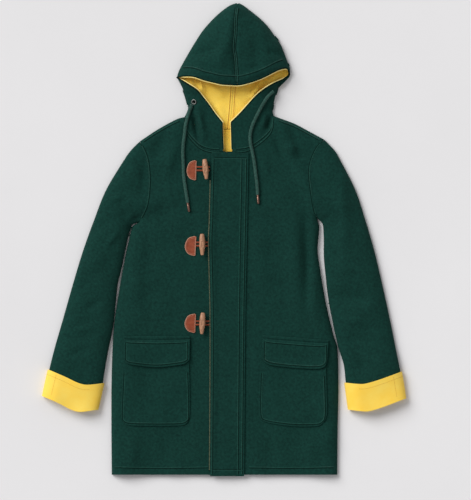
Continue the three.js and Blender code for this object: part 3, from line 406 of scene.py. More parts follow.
def ridges(folds, x, y, taper=0.0):
    height = np.zeros(np.shape(x))
    for (x0, y0), (x1, y1), width, tall in folds:
        dx, dy = x1 - x0, y1 - y0
        share = np.clip(((x - x0) * dx + (y - y0) * dy) / (dx * dx + dy * dy), 0, 1)
        far = np.hypot(x - x0 - share * dx, y - y0 - share * dy)
        height += tall * np.exp(-((far / width) ** 2)) * (1 - taper * (1 - np.sin(math.pi * share)))
    return height


slack = np.random.default_rng(11)
WAVES = []
for _ in range(14):
    WAVES.append((slack.uniform(0, math.pi), slack.uniform(55, 150), slack.uniform(0, 2 * math.pi)))


def uneven(x, y):
    """Cloth is never quite flat: long low waves that cross each other."""
    total = np.zeros(np.shape(x))
    for turn, long, start in WAVES:
        total += np.sin(2 * math.pi * (x * math.cos(turn) + y * math.sin(turn)) / long + start)
    return 0.3 * total


def rise(distance, loft):
    inwards = 1 - np.minimum(distance / (2.4 * loft), 1)
    return np.sqrt(1 - inwards * inwards)


def top(x, y, near=None):
    """Outer face of the upper layer of body, sleeves and neck."""
    near = fold_distance(x, y) if near is None else near
    sleeve = smooth(np.abs(x - 10), 195, 255) * smooth(-y, -260, -240)
    loft = between(loft_of(BODY_LOFT, y), loft_of(SLEEVE_LOFT, y), sleeve)
    stands = loft + ridges(FOLDS, x, y) + 1.9 * ridges(CREASES, x, y, 0.8) + uneven(x, y)
    return FOLD + AIR / 2 + cuff_lift(x, y) + rise(near, loft) * stands


# The dark thread colour also paints the shade of the sunk lines along seams.
thread, *_ = mottled("green_thread", 0.9, (4, 20, 16), (10, 36, 30), 0.004, Specular_IOR_Level=0.05)
# A lighter copy of the coating for the ridges beside seams: a painted highlight along them.
ridge_highlight, *_ = mottled(
    "coating_ridge_highlight", 0.9, (10, 52, 44), (24, 74, 64), 0.006, Sheen_Weight=0.15, Specular_IOR_Level=0.12
)


def front_plan_of(hand):
    edge = EDGES[hand]
    centre = 6 + SIDE[hand] * AIR / 2
    neck_x, neck_y = edge["neck_seam"](1.0)
    hem_x = edge["side"](0.0)[0]
    centre_side = chained(
        (straight((centre, HEM_Y), (centre, 43)), 0, 0.6, 0, 1),
        (straight((centre, 43), (centre, neck_y)), 0.6, 0.84, 0, 1),
        (straight((centre, neck_y), (neck_x, neck_y)), 0.84, 0.85, 0, 1),
        (back_to_front(edge["neck_seam"]), 0.85, 1, 0, 1),
    )
    hem = straight((hem_x, HEM_Y), (centre, HEM_Y))
    return patch(body_side(hand), centre_side, hem, edge["shoulder"])


def tube_shell(rings, capped=True):
    """A closed tube from rings of points, with flat ends, or one whose last ring joins the first."""
    count, sides = rings.shape[:2]
    number = np.arange(count * sides).reshape(count, sides)
    follow = np.roll(number, -1, axis=1)
    if capped:
        quads = np.stack([number[:-1], follow[:-1], follow[1:], number[1:]], -1).reshape(-1, 4)
    else:
        nxt, nxt_follow = np.roll(number, -1, axis=0), np.roll(follow, -1, axis=0)
        quads = np.stack([number, follow, nxt_follow, nxt], -1).reshape(-1, 4)
    points = rings.reshape(-1, 3)
    if not capped:
        return outwards(points, quads)
    hubs = len(points) + np.arange(2)
    points = np.concatenate([points, rings[:1].mean(1), rings[-1:].mean(1)])
    start = np.stack([follow[0], number[0], np.full(sides, hubs[0]), np.full(sides, hubs[0])], -1)
    end = np.stack([number[-1], follow[-1], np.full(sides, hubs[1]), np.full(sides, hubs[1])], -1)
    return outwards(points, np.concatenate([quads, start, end]))


STITCH_LIFT = 0.1


def stitch_row(path, normal=(0, 0, 1), pitch=4.2, length=2.9, wide=0.75, sunk=0.05):
    """Short threads end to end along a path of points, half sunk in the cloth."""
    path = np.asarray(path, float)
    reach = np.concatenate([[0], np.cumsum(np.linalg.norm(np.diff(path, axis=0), axis=1))])
    shells = []
    for middle in np.arange(pitch / 2, reach[-1] - pitch / 2, pitch):
        ends = [np.array([np.interp(s, reach, path[:, k]) for k in range(3)])
                for s in (middle - length / 2, middle + length / 2)]
        along = unit(ends[1] - ends[0])
        up = unit(np.array(normal, float) - np.dot(normal, along) * along)
        aside = np.cross(along, up)
        rings = []
        for share, radius in ((0, 0.35), (0.18, 1), (0.82, 1), (1, 0.35)):
            centre = between(ends[0], ends[1], share) - up * sunk
            angle = np.arange(5) * 2 * math.pi / 5
            out = np.cos(angle)[:, None] * aside + np.sin(angle)[:, None] * up
            rings.append(centre + radius * wide / 2 * out)
        shells.append(tube_shell(np.array(rings)))
    return shells


def oval_rings(path, wide, thick, sides):
    along = unit(np.gradient(path, axis=0))
    aside = unit(np.cross(np.array([0, 0, 1.0]), along))
    up = np.cross(along, aside)
    angle = np.arange(sides) * 2 * math.pi / sides
    flat = np.cos(angle)[None, :, None] * aside[:, None] * wide / 2
    return path[:, None] + flat + np.sin(angle)[None, :, None] * up[:, None] * thick / 2


def welt(path, aside=2.4, wide=2.6, high=1.7):
    """A sewn seam: a thin dark strip on the cloth that paints the shade of the sunk line where the stitches
    pull, and a soft ridge of cloth beside it.
    """
    path = np.asarray(path, float)
    along = unit(np.gradient(path, axis=0))
    off = unit(np.cross(along, np.array([0, 0, 1.0])))
    # The sunk line is not cut into the cloth: a dark strip laid on top paints its shade.
    groove_shade_strip = tube_shell(oval_rings(path + np.array([0, 0, -0.25]), 2.2, 0.9, 6))
    ridge = tube_shell(oval_rings(path + off * aside + np.array([0, 0, -0.35]), wide, high, 8))
    return groove_shade_strip, ridge


def sew(name, paths, aside=2.4, cloth=None, threads=None, pitch=4.2, length=2.9):
    """Stitches with a dark strip in thread colour that paints the shade of their sunk line, and the ridges
    beside them in cloth, by default a lighter coating that paints a highlight on them.
    """
    rows, bumps = [], []
    for path in paths:
        groove_shade_strip, ridge = welt(path, aside)
        rows += [groove_shade_strip, *stitch_row(path, pitch=pitch, length=length)]
        bumps.append(ridge)
    stitches = make(f"{name}_stitches", rows, threads or thread)
    return [stitches, make(f"{name}_ridges", bumps, cloth or ridge_highlight, sharp=80)]


def shifted(way, dx, dy):
    return lambda t: way(t) + np.array([dx, dy])


def on_face(way, face, count, lift):
    place = way(np.linspace(0, 1, count))
    x, y = place[:, 0], place[:, 1]
    return np.stack([x, y, face(x, y) + lift], -1)


front_rows = np.concatenate(
    [np.linspace(0, 0.82, 130), np.linspace(0.825, 0.86, 14), spread(46, 0.865, 1.0)[1:]]
)
for hand in HANDS:
    face_grid = laid_grid(front_plan_of(hand), top, spread(76), front_rows)
    shell = sheet_shell(face_grid, 1, CLOTH)
    front = make(f"front_panel_{hand}", [shell], coating, [f"front_{hand}"])
    side = SIDE[hand]
    hem = line((side * 274, -571), (side * 150, -572.5), (side * 62 if side > 0 else -40, -571))
    topstitch = shifted(EDGES[hand]["shoulder"], 0, -9.0)
    armhole = shifted(EDGES[hand]["armhole"], side * -3.0, 0)
    paths = [
        on_face(hem, top, 120, STITCH_LIFT),
        on_face(topstitch, top, 60, STITCH_LIFT)[6:-6],
        on_face(armhole, top, 70, STITCH_LIFT)[4:-4],
    ]
    seam = sew(f"front_{hand}", paths, aside=2.4 * side)

# Sleeves
# A topsleeve lies above and an undersleeve below it, joined along the outer fold and the forearm seam.
# Both are coating, set into the armhole, with soft creases where the elbow and underarm were laid.
BICEPS = 0.17
CUFF_TOP = 0.9
CUFF_DEEP = 68
SLEEVE_SEAM = 0.2


def sleeve_plan_of(hand):
    edge = EDGES[hand]
    outer, inner = edge["sleeve_outer"], edge["sleeve_inner"]
    across = straight(outer(BICEPS), inner(BICEPS))

    def stretch(way):
        return lambda v: way(np.asarray(v, float) * BICEPS)

    def down(way):
        turn = 1 - CUFF_DEEP / way.length
        cuff_from = (CUFF_TOP - BICEPS) / (1 - BICEPS)
        return chained((way, 0, cuff_from, BICEPS, turn), (way, cuff_from, 1, turn, 1))

    head = patch(stretch(outer), stretch(inner), back_to_front(edge["armhole"]), across)
    arm = patch(down(outer), down(inner), across, edge["sleeve_end"])

    def plan(u, v):
        low = head(u, np.clip(v / BICEPS, 0, 1))
        high = arm(u, np.clip((v - BICEPS) / (1 - BICEPS), 0, 1))
        return np.where((v < BICEPS)[..., None], low, high)

    return plan


def sleeve_lines(hand, vs, over_count=54, under_count=60, inner_count=22):
    """Rows across the upper face to the forearm seam, and rows round below to the same seam."""
    plan = sleeve_plan_of(hand)
    over, below = [], []
    for v in vs:
        seam = 1 - 0.26 * smooth(v, 0.42, 1.12)
        ends = plan(np.array([0.0, 1.0]), np.array([v, v]))
        wide = np.linalg.norm(ends[1] - ends[0])
        gap = SLEEVE_SEAM / wide
        u_over = spread(over_count, gap * 0.5, seam - gap)
        u_under = spread(under_count, gap * 0.5, 1.0)
        turned_over = seam < 1 - 2 * gap
        u_inner = np.full(inner_count - 1, 1.0)
        if turned_over:
            u_inner = 1 - spread(inner_count, 0, 1 - seam - gap)[1:]
        rows = []
        for us, face in ((u_over, top), (u_under, under), (u_inner, top)):
            place = plan(us, np.full(len(us), v))
            rows.append(np.column_stack([place, face(place[:, 0], place[:, 1])]))
        if not turned_over:
            rows[2] = rows[1][-1] + np.linspace(0, 0.02, inner_count)[1:, None] * np.array([0, 0, 1.0])
        over.append(rows[0])
        below.append(np.concatenate([rows[1], rows[2]]))
    return np.array(over), np.array(below)


sleeve_rows = np.concatenate(
    [np.linspace(0.0014, BICEPS, 26)[:-1], np.linspace(BICEPS, 0.88, 84), [0.9, 0.93, 0.96, 0.995]]
)
for hand in HANDS:
    over, below = sleeve_lines(hand, sleeve_rows)
    over_shell = sheet_shell(over, 1, CLOTH)
    topsleeve = make(f"topsleeve_cloth_{hand}", [over_shell], coating, [f"topsleeve_{hand}"])
    low_shell = sheet_shell(below, -1, CLOTH)
    undersleeve = make(f"undersleeve_cloth_{hand}", [low_shell], coating, [f"undersleeve_{hand}"])

# Cuffs
# The sleeve's end is turned back over itself, so that its yellow twill lining shows.
# The turned edge is topstitched, and the lining's own seam runs across the cuff.
YELLOW_DARK = (255, 208, 70)
YELLOW_LIGHT = (255, 221, 98)
twill, twill_shader, where, _ = mottled(
    "yellow_twill", 0.85, YELLOW_DARK, YELLOW_LIGHT, 0.05,
    Sheen_Weight=0.1, Sheen_Roughness=0.6, Specular_IOR_Level=0.25,
)
ribs = twill.node_tree.nodes.new("ShaderNodeTexWave")
ribs.wave_type = "BANDS"
ribs.bands_direction = "DIAGONAL"
ribs.inputs["Scale"].default_value = 420
ribs.inputs["Distortion"].default_value = 1.5
twill.node_tree.links.new(where.outputs["Object"], ribs.inputs["Vector"])
grain(twill, twill_shader, ribs.outputs["Color"], 0.35, 0.0004)
yellow_thread, *_ = mottled("yellow_thread", 0.65, (176, 116, 20), (214, 152, 44), 0.004)


def moved_out(rings, depth):
    across = np.roll(rings, -1, axis=1) - np.roll(rings, 1, axis=1)
    normal = unit(np.cross(across, np.gradient(rings, axis=0)))
    middle = len(rings) // 2
    highest = rings[middle, :, 2].argmax()
    return rings + normal * np.sign(normal[middle, highest, 2]) * depth


CUFF_SEAM = 11
cuff_rows = np.array([0.9, 0.907, 0.915, 0.93, 0.945, 0.96, 0.972, 0.984, 0.992, 1.0])
for hand in HANDS:
    over, below = sleeve_lines(hand, cuff_rows, 40, 44, 16)
    rings = np.concatenate([over, below[:, ::-1]], axis=1)
    outside, room_in, mouth = (moved_out(rings, depth) for depth in (3.8, 1.3, -2.5))
    # the turned edge comes round the sleeve's mouth on the inside
    lip = [mouth[-1], between(mouth[-2], mouth[-1], 0.3), between(room_in[-2], room_in[-1], 0.3)]
    turned = np.concatenate([outside, lip, room_in[-3::-1]])
    cuff = make(f"cuff_lining_{hand}", [tube_shell(turned, capped=False)], twill, [f"cuff_{hand}"])
    topstitch = between(outside[2], outside[3], 0.2)[:40] + np.array([0, 0, STITCH_LIFT])
    crossing = outside[:, CUFF_SEAM] + np.array([0, 0, STITCH_LIFT])
    sewing = stitch_row(topstitch, pitch=3.6, length=2.6) + stitch_row(crossing[1:-2], pitch=3.2, length=2.4)
    seam = make(f"cuff_stitches_{hand}", sewing, yellow_thread)

# Hood
# Two halves of coating meet in a seam over the crown and down the back; the hood lies on its back.
# The brim is topstitched about 20 mm above its edge, and the neck seam is stitched twice.
HOOD_EDGES = {
    "right": {
        "brim": line((-118, 405), (-100, 409), (-76, 408), (-52, 400), (-28, 394), (-4, 389), (33, 387)),
        "mouth": line((-118, 405), (-95, 391), (-69, 374), (-57, 360), (-40, 338), (-23, 314), (-5, 292)),
        "stand": line((-5, 292), (-4, 256), (-2, 220)),
    },
    "left": {
        "brim": line((164, 412), (157, 428), (139, 426), (120, 417), (96, 405), (72, 396), (48, 389),
                     (33, 387)),
        "mouth": line((164, 412), (149, 401), (127, 391), (103, 377), (80, 358), (43, 317), (18, 292)),
        "stand": line((18, 292), (19, 256), (20, 220)),
    },
}
for hand in HANDS:
    EDGES[hand].update(HOOD_EDGES[hand])
CROWN_SEAM = line((34, 592), (29, 552), (28, 515), (25, 480), (29, 451), (33, 387))
BACK_SEAM_LOW = line((14, 276), (20, 340), (24, 404))
BACK_SEAM_HIGH = line((24, 404), (28, 500), (34, 592))
CROWN_FOLDS = (
    ((24, 572), (6, 480), 13, 5), ((-70, 466), (-30, 474), 12, -6), ((150, 462), (116, 466), 10, -6),
    ((60, 520), (74, 440), 20, -5),
)
CROWN_CREASES = (
    ((27, 578), (27, 402), 7, -3.4), ((2, 548), (-8, 430), 17, 3.2), ((58, 540), (66, 440), 14, 3.2),
    ((-98, 416), (20, 402), 9, 3), ((140, 432), (40, 402), 9, 3), ((-84, 440), (10, 424), 7, -1.8),
    ((128, 446), (46, 424), 7, -1.8),
    ((-78, 468), (-38, 467), 5, -2.2), ((130, 463), (153, 453), 5, -2.4), ((-40, 510), (-12, 500), 12, 2.4),
    ((90, 526), (110, 486), 13, 2.4), ((-84, 430), (-30, 424), 11, 2), ((70, 434), (128, 446), 12, 2),
)


CROWN_HIGH = 42
BRIM_HEM = 20.0


def hood_top(x, y, shrunk=0.0):
    """Outer face of the hood's upper layer, where the crown stands higher than the neck."""
    near = fold_distance(x, y)
    full = rise(np.maximum(near - shrunk, 0), CROWN_HIGH)
    stands = CROWN_HIGH + ridges(CROWN_FOLDS, x, y) + 1.4 * ridges(CROWN_CREASES, x, y, 0.5) + uneven(x, y)
    crown = FOLD + AIR / 2 + full * stands
    return between(top(x, y, near), crown, smooth(y, 355, 400))


def held_at(place):
    """A side of a patch that has shrunk to one point."""
    return lambda t: np.broadcast_to(place, np.shape(t) + (2,))


hoods = {}
for hand in HANDS:
    edge = EDGES[hand]
    corner = edge["hood_side"](1.0)
    opening = chained(
        (back_to_front(edge["stand"]), 0, 0.3, 0, 1), (back_to_front(edge["mouth"]), 0.3, 1, 0, 1)
    )
    level = straight(corner, BACK_SEAM_HIGH(0.0))
    on_corner = held_at(corner)
    peak = held_at(edge["crown_side"](1.0))
    hoods[hand] = {
        "neck_top": patch(edge["hood_side"], opening, edge["neck_seam"], on_corner),
        "neck_low": patch(edge["hood_side"], BACK_SEAM_LOW, edge["back_neck"], level),
        "crown_top": patch(edge["crown_side"], back_to_front(CROWN_SEAM), edge["brim"], peak),
        "crown_low": patch(edge["crown_side"], BACK_SEAM_HIGH, level, peak),
    }


def hood_rows(plans, part, vs, over, top_count):
    """Rows from the back seam out to the fold and in again over the top."""
    low = laid_grid(plans[f"{part}_low"], under, spread(20), vs)
    high = laid_grid(plans[f"{part}_top"], over, spread(top_count), vs)
    return np.concatenate([low[:, ::-1], high[:, 1:]], axis=1)


def seam_groove(way, wide, deep, face):
    """A face that dips along a seam."""
    path = way(np.linspace(0, 1, 60))

    def at(x, y):
        away = np.sqrt(((x[..., None] - path[:, 0]) ** 2 + (y[..., None] - path[:, 1]) ** 2).min(-1))
        return face(x, y) - deep * np.exp(-((away / wide) ** 2))

    return at


crown_face = seam_groove(CROWN_SEAM, 3.5, 1.5, hood_top)
MOUTH_RUN = (
    ("brim", np.linspace(1, 0, 90)),
    ("mouth", np.linspace(0, 1, 110)[1:]),
    ("stand", np.linspace(0, 1, 40)[1:-3]),
)
neck_steps = np.concatenate([np.linspace(0.003, 0.9, 44), [0.93, 0.96, 0.985, 1.0]])
crown_steps = np.concatenate([spread(60, 0.0, 0.9), [0.93, 0.96, 0.985]])
for hand in HANDS:
    neck = hood_rows(hoods[hand], "neck", neck_steps, hood_top, 52)
    crown = hood_rows(hoods[hand], "crown", crown_steps, crown_face, 64)
    shells = [sheet_shell(neck, -1, CLOTH), sheet_shell(crown, -1, CLOTH)]
    hood = make(f"hood_cloth_{hand}", shells, coating, [f"hood_{hand}"])
    edge = EDGES[hand]
    side = SIDE[hand]
    brim_from = 9 if hand == "right" else 17
    paths = [
        on_face(shifted(edge["brim"], 0, BRIM_HEM), hood_top, 90, 0.15)[brim_from:],
        on_face(shifted(CROWN_SEAM, side * 4.5, 0), crown_face, 90, 0.3)[6:-3],
    ]
    neck_paths = [
        on_face(shifted(edge["neck_seam"], 0, 5.0), hood_top, 90, 0.15)[6:-6],
        on_face(shifted(edge["neck_seam"], 0, -4.0), top, 90, 0.15)[8:-6],
    ]
    seam = sew(f"hood_{hand}", paths, aside=2.4 * side)
    seam += sew(f"hood_neck_{hand}", neck_paths, aside=2.2 * side)
    if hand == "left":
        # the sunk thread that joins both halves
        joint = on_face(CROWN_SEAM, crown_face, 90, -1.0)[3:-2]
        seam.append(make("hood_crown_joint", [tube_shell(oval_rings(joint, 2.6, 1.2, 8))], thread))
    bound = np.concatenate([edge[name](shares) for name, shares in MOUTH_RUN])
    rim_path = np.column_stack([bound, hood_top(bound[:, 0], bound[:, 1]) - 1.5])
    rim = tube_shell(oval_rings(rim_path, 3.4, 3.8, 12))
    seam.append(make(f"hood_edge_{hand}", [rim], thread, sharp=80))

# Hood lining
# Yellow twill inside the hood, sewn along the back seam under a narrow strip, with soft folds.
# It comes out past the edge of the brim as a thin pale rim, and ends in a seam across the neck.
LINING = 1.2
LINING_COUNT = 34
LINING_INSET = 5.5
LINING_BELOW = 6.6
STRIP_HALF = 5.5
# A paler copy of the yellow twill for the lining's rim along the hood's opening: a painted highlight on the
# rolled edge.
twill_rim_highlight, *_ = mottled(
    "yellow_twill_rim_highlight", 0.8, (255, 226, 130), (255, 238, 166), 0.03, Specular_IOR_Level=0.2
)
LINING_FOLDS = (
    ((-57, 392), (-58, 352), 6, 6.5), ((-90, 396), (-74, 378), 9, 5), ((90, 394), (70, 358), 7, 6.5),
    ((130, 412), (112, 392), 10, 5), ((-34, 384), (-6, 362), 8, 3), ((-12, 330), (0, 300), 8, 1.6),
    ((44, 384), (56, 356), 9, 2.4), ((34, 352), (52, 330), 8, 2.0),
)


def lining_over(x, y):
    return np.maximum(hood_top(x, y, LINING_INSET) - LINING_BELOW, FOLD + 0.4)


def lining_under(x, y):
    low = 3.0 + 2.0 * (1 - smooth(fold_distance(x, y), LINING_INSET, 13))
    return low + np.maximum(1.7 * ridges(LINING_FOLDS, x, y, 0.3), 0)


for hand in HANDS:
    shells = []
    for part, vs in (("neck", neck_steps), ("crown", crown_steps[crown_steps < 0.8])):
        plans = hoods[hand]
        rows = []
        for v in vs:
            strip = []
            for layer, face in (("low", lining_under), ("top", lining_over)):
                plan = plans[f"{part}_{layer}"]
                ends = plan(np.array([0.0, 1.0]), np.array([v, v]))
                start = min(LINING_INSET / max(np.linalg.norm(ends[1] - ends[0]), 20), 0.6)
                us = spread(LINING_COUNT, start, 0.998)
                place = plan(us, np.full(LINING_COUNT, v))
                points = np.column_stack([place, face(place[:, 0], place[:, 1])])
                strip.append(points[::-1] if layer == "low" else points[1:])
            rows.append(np.concatenate(strip))
        shells.append(sheet_shell(np.array(rows), -1, LINING))
    edge = EDGES[hand]
    side = SIDE[hand]
    plans_out, heights_out = [], []
    towards = {"brim": (0, -1.0), "mouth": (-0.75 * side, 0.65), "stand": (-side, 0)}
    for name, shares in MOUTH_RUN:
        way = edge[name](shares)
        clear = smooth(np.linalg.norm(way - edge["hood_side"](1.0), axis=1), 2, 22)
        off = 1.3 if name == "stand" else 3.0
        plans_out.append(way + off * clear[:, None] * np.array(towards[name]))
        heights_out.append(hood_top(way[:, 0], way[:, 1]) - 3.2)
    rim_path = np.column_stack([np.concatenate(plans_out), np.concatenate(heights_out)])
    inside = make(f"hood_lining_cloth_{hand}", shells, twill, [f"hood_lining_{hand}"])
    strip = on_face(shifted(BACK_SEAM_LOW, side * STRIP_HALF, 0), lining_under, 70, 1.3)
    seam = sew(f"hood_lining_{hand}", [strip], 1.8 * side, twill, yellow_thread, 3.6, 2.6)
    rim = tube_shell(oval_rings(rim_path, 3.0, 2.2, 10))
    seam.append(make(f"hood_lining_rim_{hand}", [rim], twill_rim_highlight, sharp=80))

# Neck lining
# A strip of the same twill on the inside of the back, below the seam that joins it to the hood's lining.
# It shows between the hood's two front edges, above the placket.
neck_right = line((-1, 190), (-2, 222), (-12, 240), (-34, 275))
neck_left = line((19.5, 190), (20, 222), (30, 240), (54, 275))
neck_plan = patch(neck_right, neck_left, straight((-1, 190), (19.5, 190)), straight((-34, 275), (54, 275)))
neck_face = lambda x, y: 4.0 + 0.35 * np.sin(x / 11) * smooth(y, 195, 240)
neck_grid = laid_grid(neck_plan, neck_face, np.linspace(0, 1, 30), np.linspace(0, 1, 26))
neck_shell = sheet_shell(neck_grid, 1, LINING)
neck_lining = make("neck_lining_cloth", [neck_shell], twill, ["neck_lining"])
neck_sewing = [(x, 271.0, 4.2) for x in np.linspace(-30, 50, 40)]
neck_rows = stitch_row(neck_sewing, pitch=3.6, length=2.6)
neck_seam = make("neck_lining_stitches", neck_rows, yellow_thread)

# Patch pockets
# A bag of coating with rounded lower corners, laid on the front and topstitched close to its edge.
# The coat's front carries it, so its face follows the front's.
LAID = 0.7
POCKETS = {
    "right": {
        "side": line((-250, -247), (-254, -340), (-257, -430), (-255, -450)),
        "inner": line((-90, -247), (-87, -340), (-86, -430), (-89, -450)),
        "bottom": line((-255, -450), (-247, -461), (-228, -465), (-170, -466), (-113, -465), (-95, -460),
                       (-89, -450)),
        "mouth": line((-250, -247), (-170, -247), (-90, -247)),
        "flap_top": line((-250, -241.5), (-170, -241.5), (-86, -241.5)),
        "flap_bottom": line((-249, -300), (-241, -310), (-215, -315), (-169, -319), (-125, -315),
                            (-99, -310), (-87, -300)),
    },
    "left": {
        "side": line((253, -261), (255, -340), (257, -428), (252, -452)),
        "inner": line((97, -250), (89, -340), (87, -425), (93, -450)),
        "bottom": line((252, -452), (240, -464), (222, -467), (175, -467), (126, -461), (104, -456),
                       (93, -450)),
        "mouth": line((253, -261), (175, -255), (97, -250)),
        "flap_top": line((261, -251.5), (179, -245), (97, -239)),
        "flap_bottom": line((257, -303), (250, -318), (228, -323), (175, -320.5), (125, -315),
                            (106, -309), (97, -300)),
    },
}


def laid_on(plan, vs, us, lift, thick, rounded=0.3):
    v, u = np.meshgrid(vs, us, indexing="ij")
    place = plan(u, v)
    x, y = place[..., 0], place[..., 1]
    return sheet_shell(np.stack([x, y, top(x, y) + lift(u, v) + thick], -1), 1, thick, rounded)


def over_cloth(plan, lift, u, v):
    """Places on the outer face of a laid piece of coating, where its stitches lie."""
    place = plan(u, v)
    heights = top(place[:, 0], place[:, 1]) + lift(u, v) + CLOTH + STITCH_LIFT
    return np.column_stack([place, heights])


def inset_of(plan, lift, edge=5.0):
    """A path just inside a laid piece's edge: down one side, along the bottom and up the other."""
    left, right = plan(np.array([0.0, 1.0]), np.array([0.5, 0.5]))
    start, end = plan(np.array([0.5, 0.5]), np.array([0.0, 1.0]))
    wide = np.linalg.norm(right - left)
    tall = np.linalg.norm(end - start)
    eu, ev = edge / wide, edge / tall
    down = [(eu, v) for v in np.linspace(0.02, 1 - ev, 50)]
    along = [(u, 1 - ev) for u in np.linspace(eu, 1 - eu, 50)]
    up = [(1 - eu, v) for v in np.linspace(1 - ev, 0.02, 50)]
    return over_cloth(plan, lift, *np.array(down + along + up).T)


for hand in HANDS:
    cut = POCKETS[hand]
    bag_plan = patch(cut["side"], cut["inner"], cut["mouth"], cut["bottom"])
    flat_lift = lambda u, v: np.full(np.shape(u), LAID)
    bag_shell = laid_on(bag_plan, np.linspace(0, 1, 44), np.linspace(0, 1, 44), flat_lift, CLOTH)
    bag = make(f"pocket_cloth_{hand}", [bag_shell], coating, [f"pocket_{hand}"])
    row = inset_of(bag_plan, flat_lift)[20:-20]
    sewing = sew(f"pocket_{hand}", [row], aside=2.2 * SIDE[hand])

# Pocket flaps
# Each flap is folded over its own seam, which stands up as a soft ridge above the pocket's mouth.
# It lies on the pocket, with two rounded corners and topstitching all round.
FLAP_RISE = ((0, 0.7), (0.03, 3.0), (0.085, 3.0), (0.12, 1.0), (0.17, 4.2), (0.7, 4.4), (1, 5.8))


def flap_lift(u, v):
    return np.interp(v, [share for share, _ in FLAP_RISE], [lift for _, lift in FLAP_RISE])


for hand in HANDS:
    cut = POCKETS[hand]
    starts, ends = cut["flap_top"], cut["flap_bottom"]
    flap_plan = patch(straight(starts(0.0), ends(0.0)), straight(starts(1.0), ends(1.0)), starts, ends)
    flap_steps = np.concatenate([np.linspace(0, 0.24, 26), np.linspace(0.26, 1, 26)])
    flap_shell = laid_on(flap_plan, flap_steps, np.linspace(0, 1, 50), flap_lift, CLOTH)
    flap = make(f"flap_cloth_{hand}", [flap_shell], coating, [f"flap_{hand}"])
    upper = over_cloth(flap_plan, flap_lift, np.linspace(0.03, 0.97, 60), np.full(60, 0.25))
    paths = [inset_of(flap_plan, flap_lift)[12:-12], upper]
    seam = sew(f"flap_{hand}", paths, aside=2.2 * SIDE[hand])

# Zip
# A zip closes the coat under the placket. Its tape edge and a row of muted brass teeth come out beside it.
# The tape is woven, and every tooth is its own small block clamped on the tape.
PLACKET = {
    "right": line((-31, 217), (-35, 49), (-37, -14), (-33, -209), (-34.5, -591)),
    "left": line((61, 215.5), (58, 49), (53, -209), (50, -591)),
    "top": line((-31, 217), (61, 215.5)),
    "hem": line((-34.5, -591), (50, -591)),
}
brass, brass_shader, _, patches = mottled(
    "muted_brass", 0.42, (108, 116, 90), (150, 158, 128), 0.003, Metallic=1.0
)
grain(brass, brass_shader, patches.outputs["Fac"], 0.2, 0.0002)


def zip_edge(offset):
    def at(t):
        y = between(150.0, -578.0, np.asarray(t, float))
        return np.stack([PLACKET["right"]((217 - y) / 808)[..., 0] + offset, y], -1)

    return at


zip_plan = lambda u, v: zip_edge(-3.5)(v) * (1 - u[..., None]) + zip_edge(6.0)(v) * u[..., None]
zip_lift = lambda u, v: np.full(np.shape(u), LAID)
tape = laid_on(zip_plan, np.linspace(0, 1, 160), np.linspace(0, 1, 5), zip_lift, 1.0, 0.0)
teeth = []
for t in np.linspace(0.004, 0.996, 236):
    x, y = zip_edge(-2.3)(t)
    z = float(top(np.array([x]), np.array([y]))[0]) + LAID + 1.5
    corners = []
    for dy, size in ((-0.95, 0.75), (-0.6, 1.0), (0.6, 1.0), (0.95, 0.75)):
        half = np.array([[-1, -1], [1, -1], [1, 1], [-1, 1]]) * np.array([1.1, 0.8]) * size
        corners.append([(x + a, y + dy, z + b) for a, b in half])
    teeth.append(tube_shell(np.array(corners)))
make("zip_tape", [tape], thread, ["zip_edge"])
make("zip_teeth", teeth, brass, ["zip_edge"], 30)

# Placket
# A strip of coating from the neck to the hem covers the zip, with a row of stitches along both edges.
# It lifts a little over the zip on the wearer's right.
placket_plan = patch(PLACKET["right"], PLACKET["left"], PLACKET["top"], PLACKET["hem"])
placket_lift = lambda u, v: LAID + 1.9 * (1 - smooth(u, 0.1, 0.24))
placket_shell = laid_on(placket_plan, np.linspace(0, 1, 190), np.linspace(0, 1, 34), placket_lift, CLOTH)
placket = make("placket_cloth", [placket_shell], coating, ["placket"])
paths = []
for share in (0.07, 0.83, 0.955):
    along = np.linspace(0.016, 0.995, 220)
    paths.append(over_cloth(placket_plan, placket_lift, np.full(220, share), along))
for level in (0.0145, 0.98):
    across = np.linspace(0.07, 0.955, 40)
    paths.append(over_cloth(placket_plan, placket_lift, across, np.full(40, level)))
seam = sew("placket", paths, aside=2.2)

# Toggle patches
# Half moons of smooth brown leather, paler along the cut edge, sewn to the right front.
# Each holds the ends of a leather thong.
LEATHER = 2.0
leather, leather_shader, where, _ = mottled(
    "brown_leather", 0.55, (118, 50, 26), (150, 72, 42), 0.01, Specular_IOR_Level=0.3
)
pores = leather.node_tree.nodes.new("ShaderNodeTexVoronoi")
pores.inputs["Scale"].default_value = 900
leather.node_tree.links.new(where.outputs["Object"], pores.inputs["Vector"])
grain(leather, leather_shader, pores.outputs["Distance"], 0.3, 0.0004)
pale_thread, *_ = mottled("tan_thread", 0.65, (168, 118, 92), (198, 150, 128), 0.004)
FASTENINGS = (
    ((-93, 171), (-69.5, 198), (-71, 148), (-49, 201), (-44, 151)),
    ((-97.5, -18), (-70, 8.5), (-72.5, -41), (-55, 14), (-54.5, -39)),
    ((-98, -211), (-71, -185.5), (-73, -233.5), (-53, -183), (-56, -236.5)),
)
patch_lift = lambda u, v: np.full(np.shape(u), LAID)
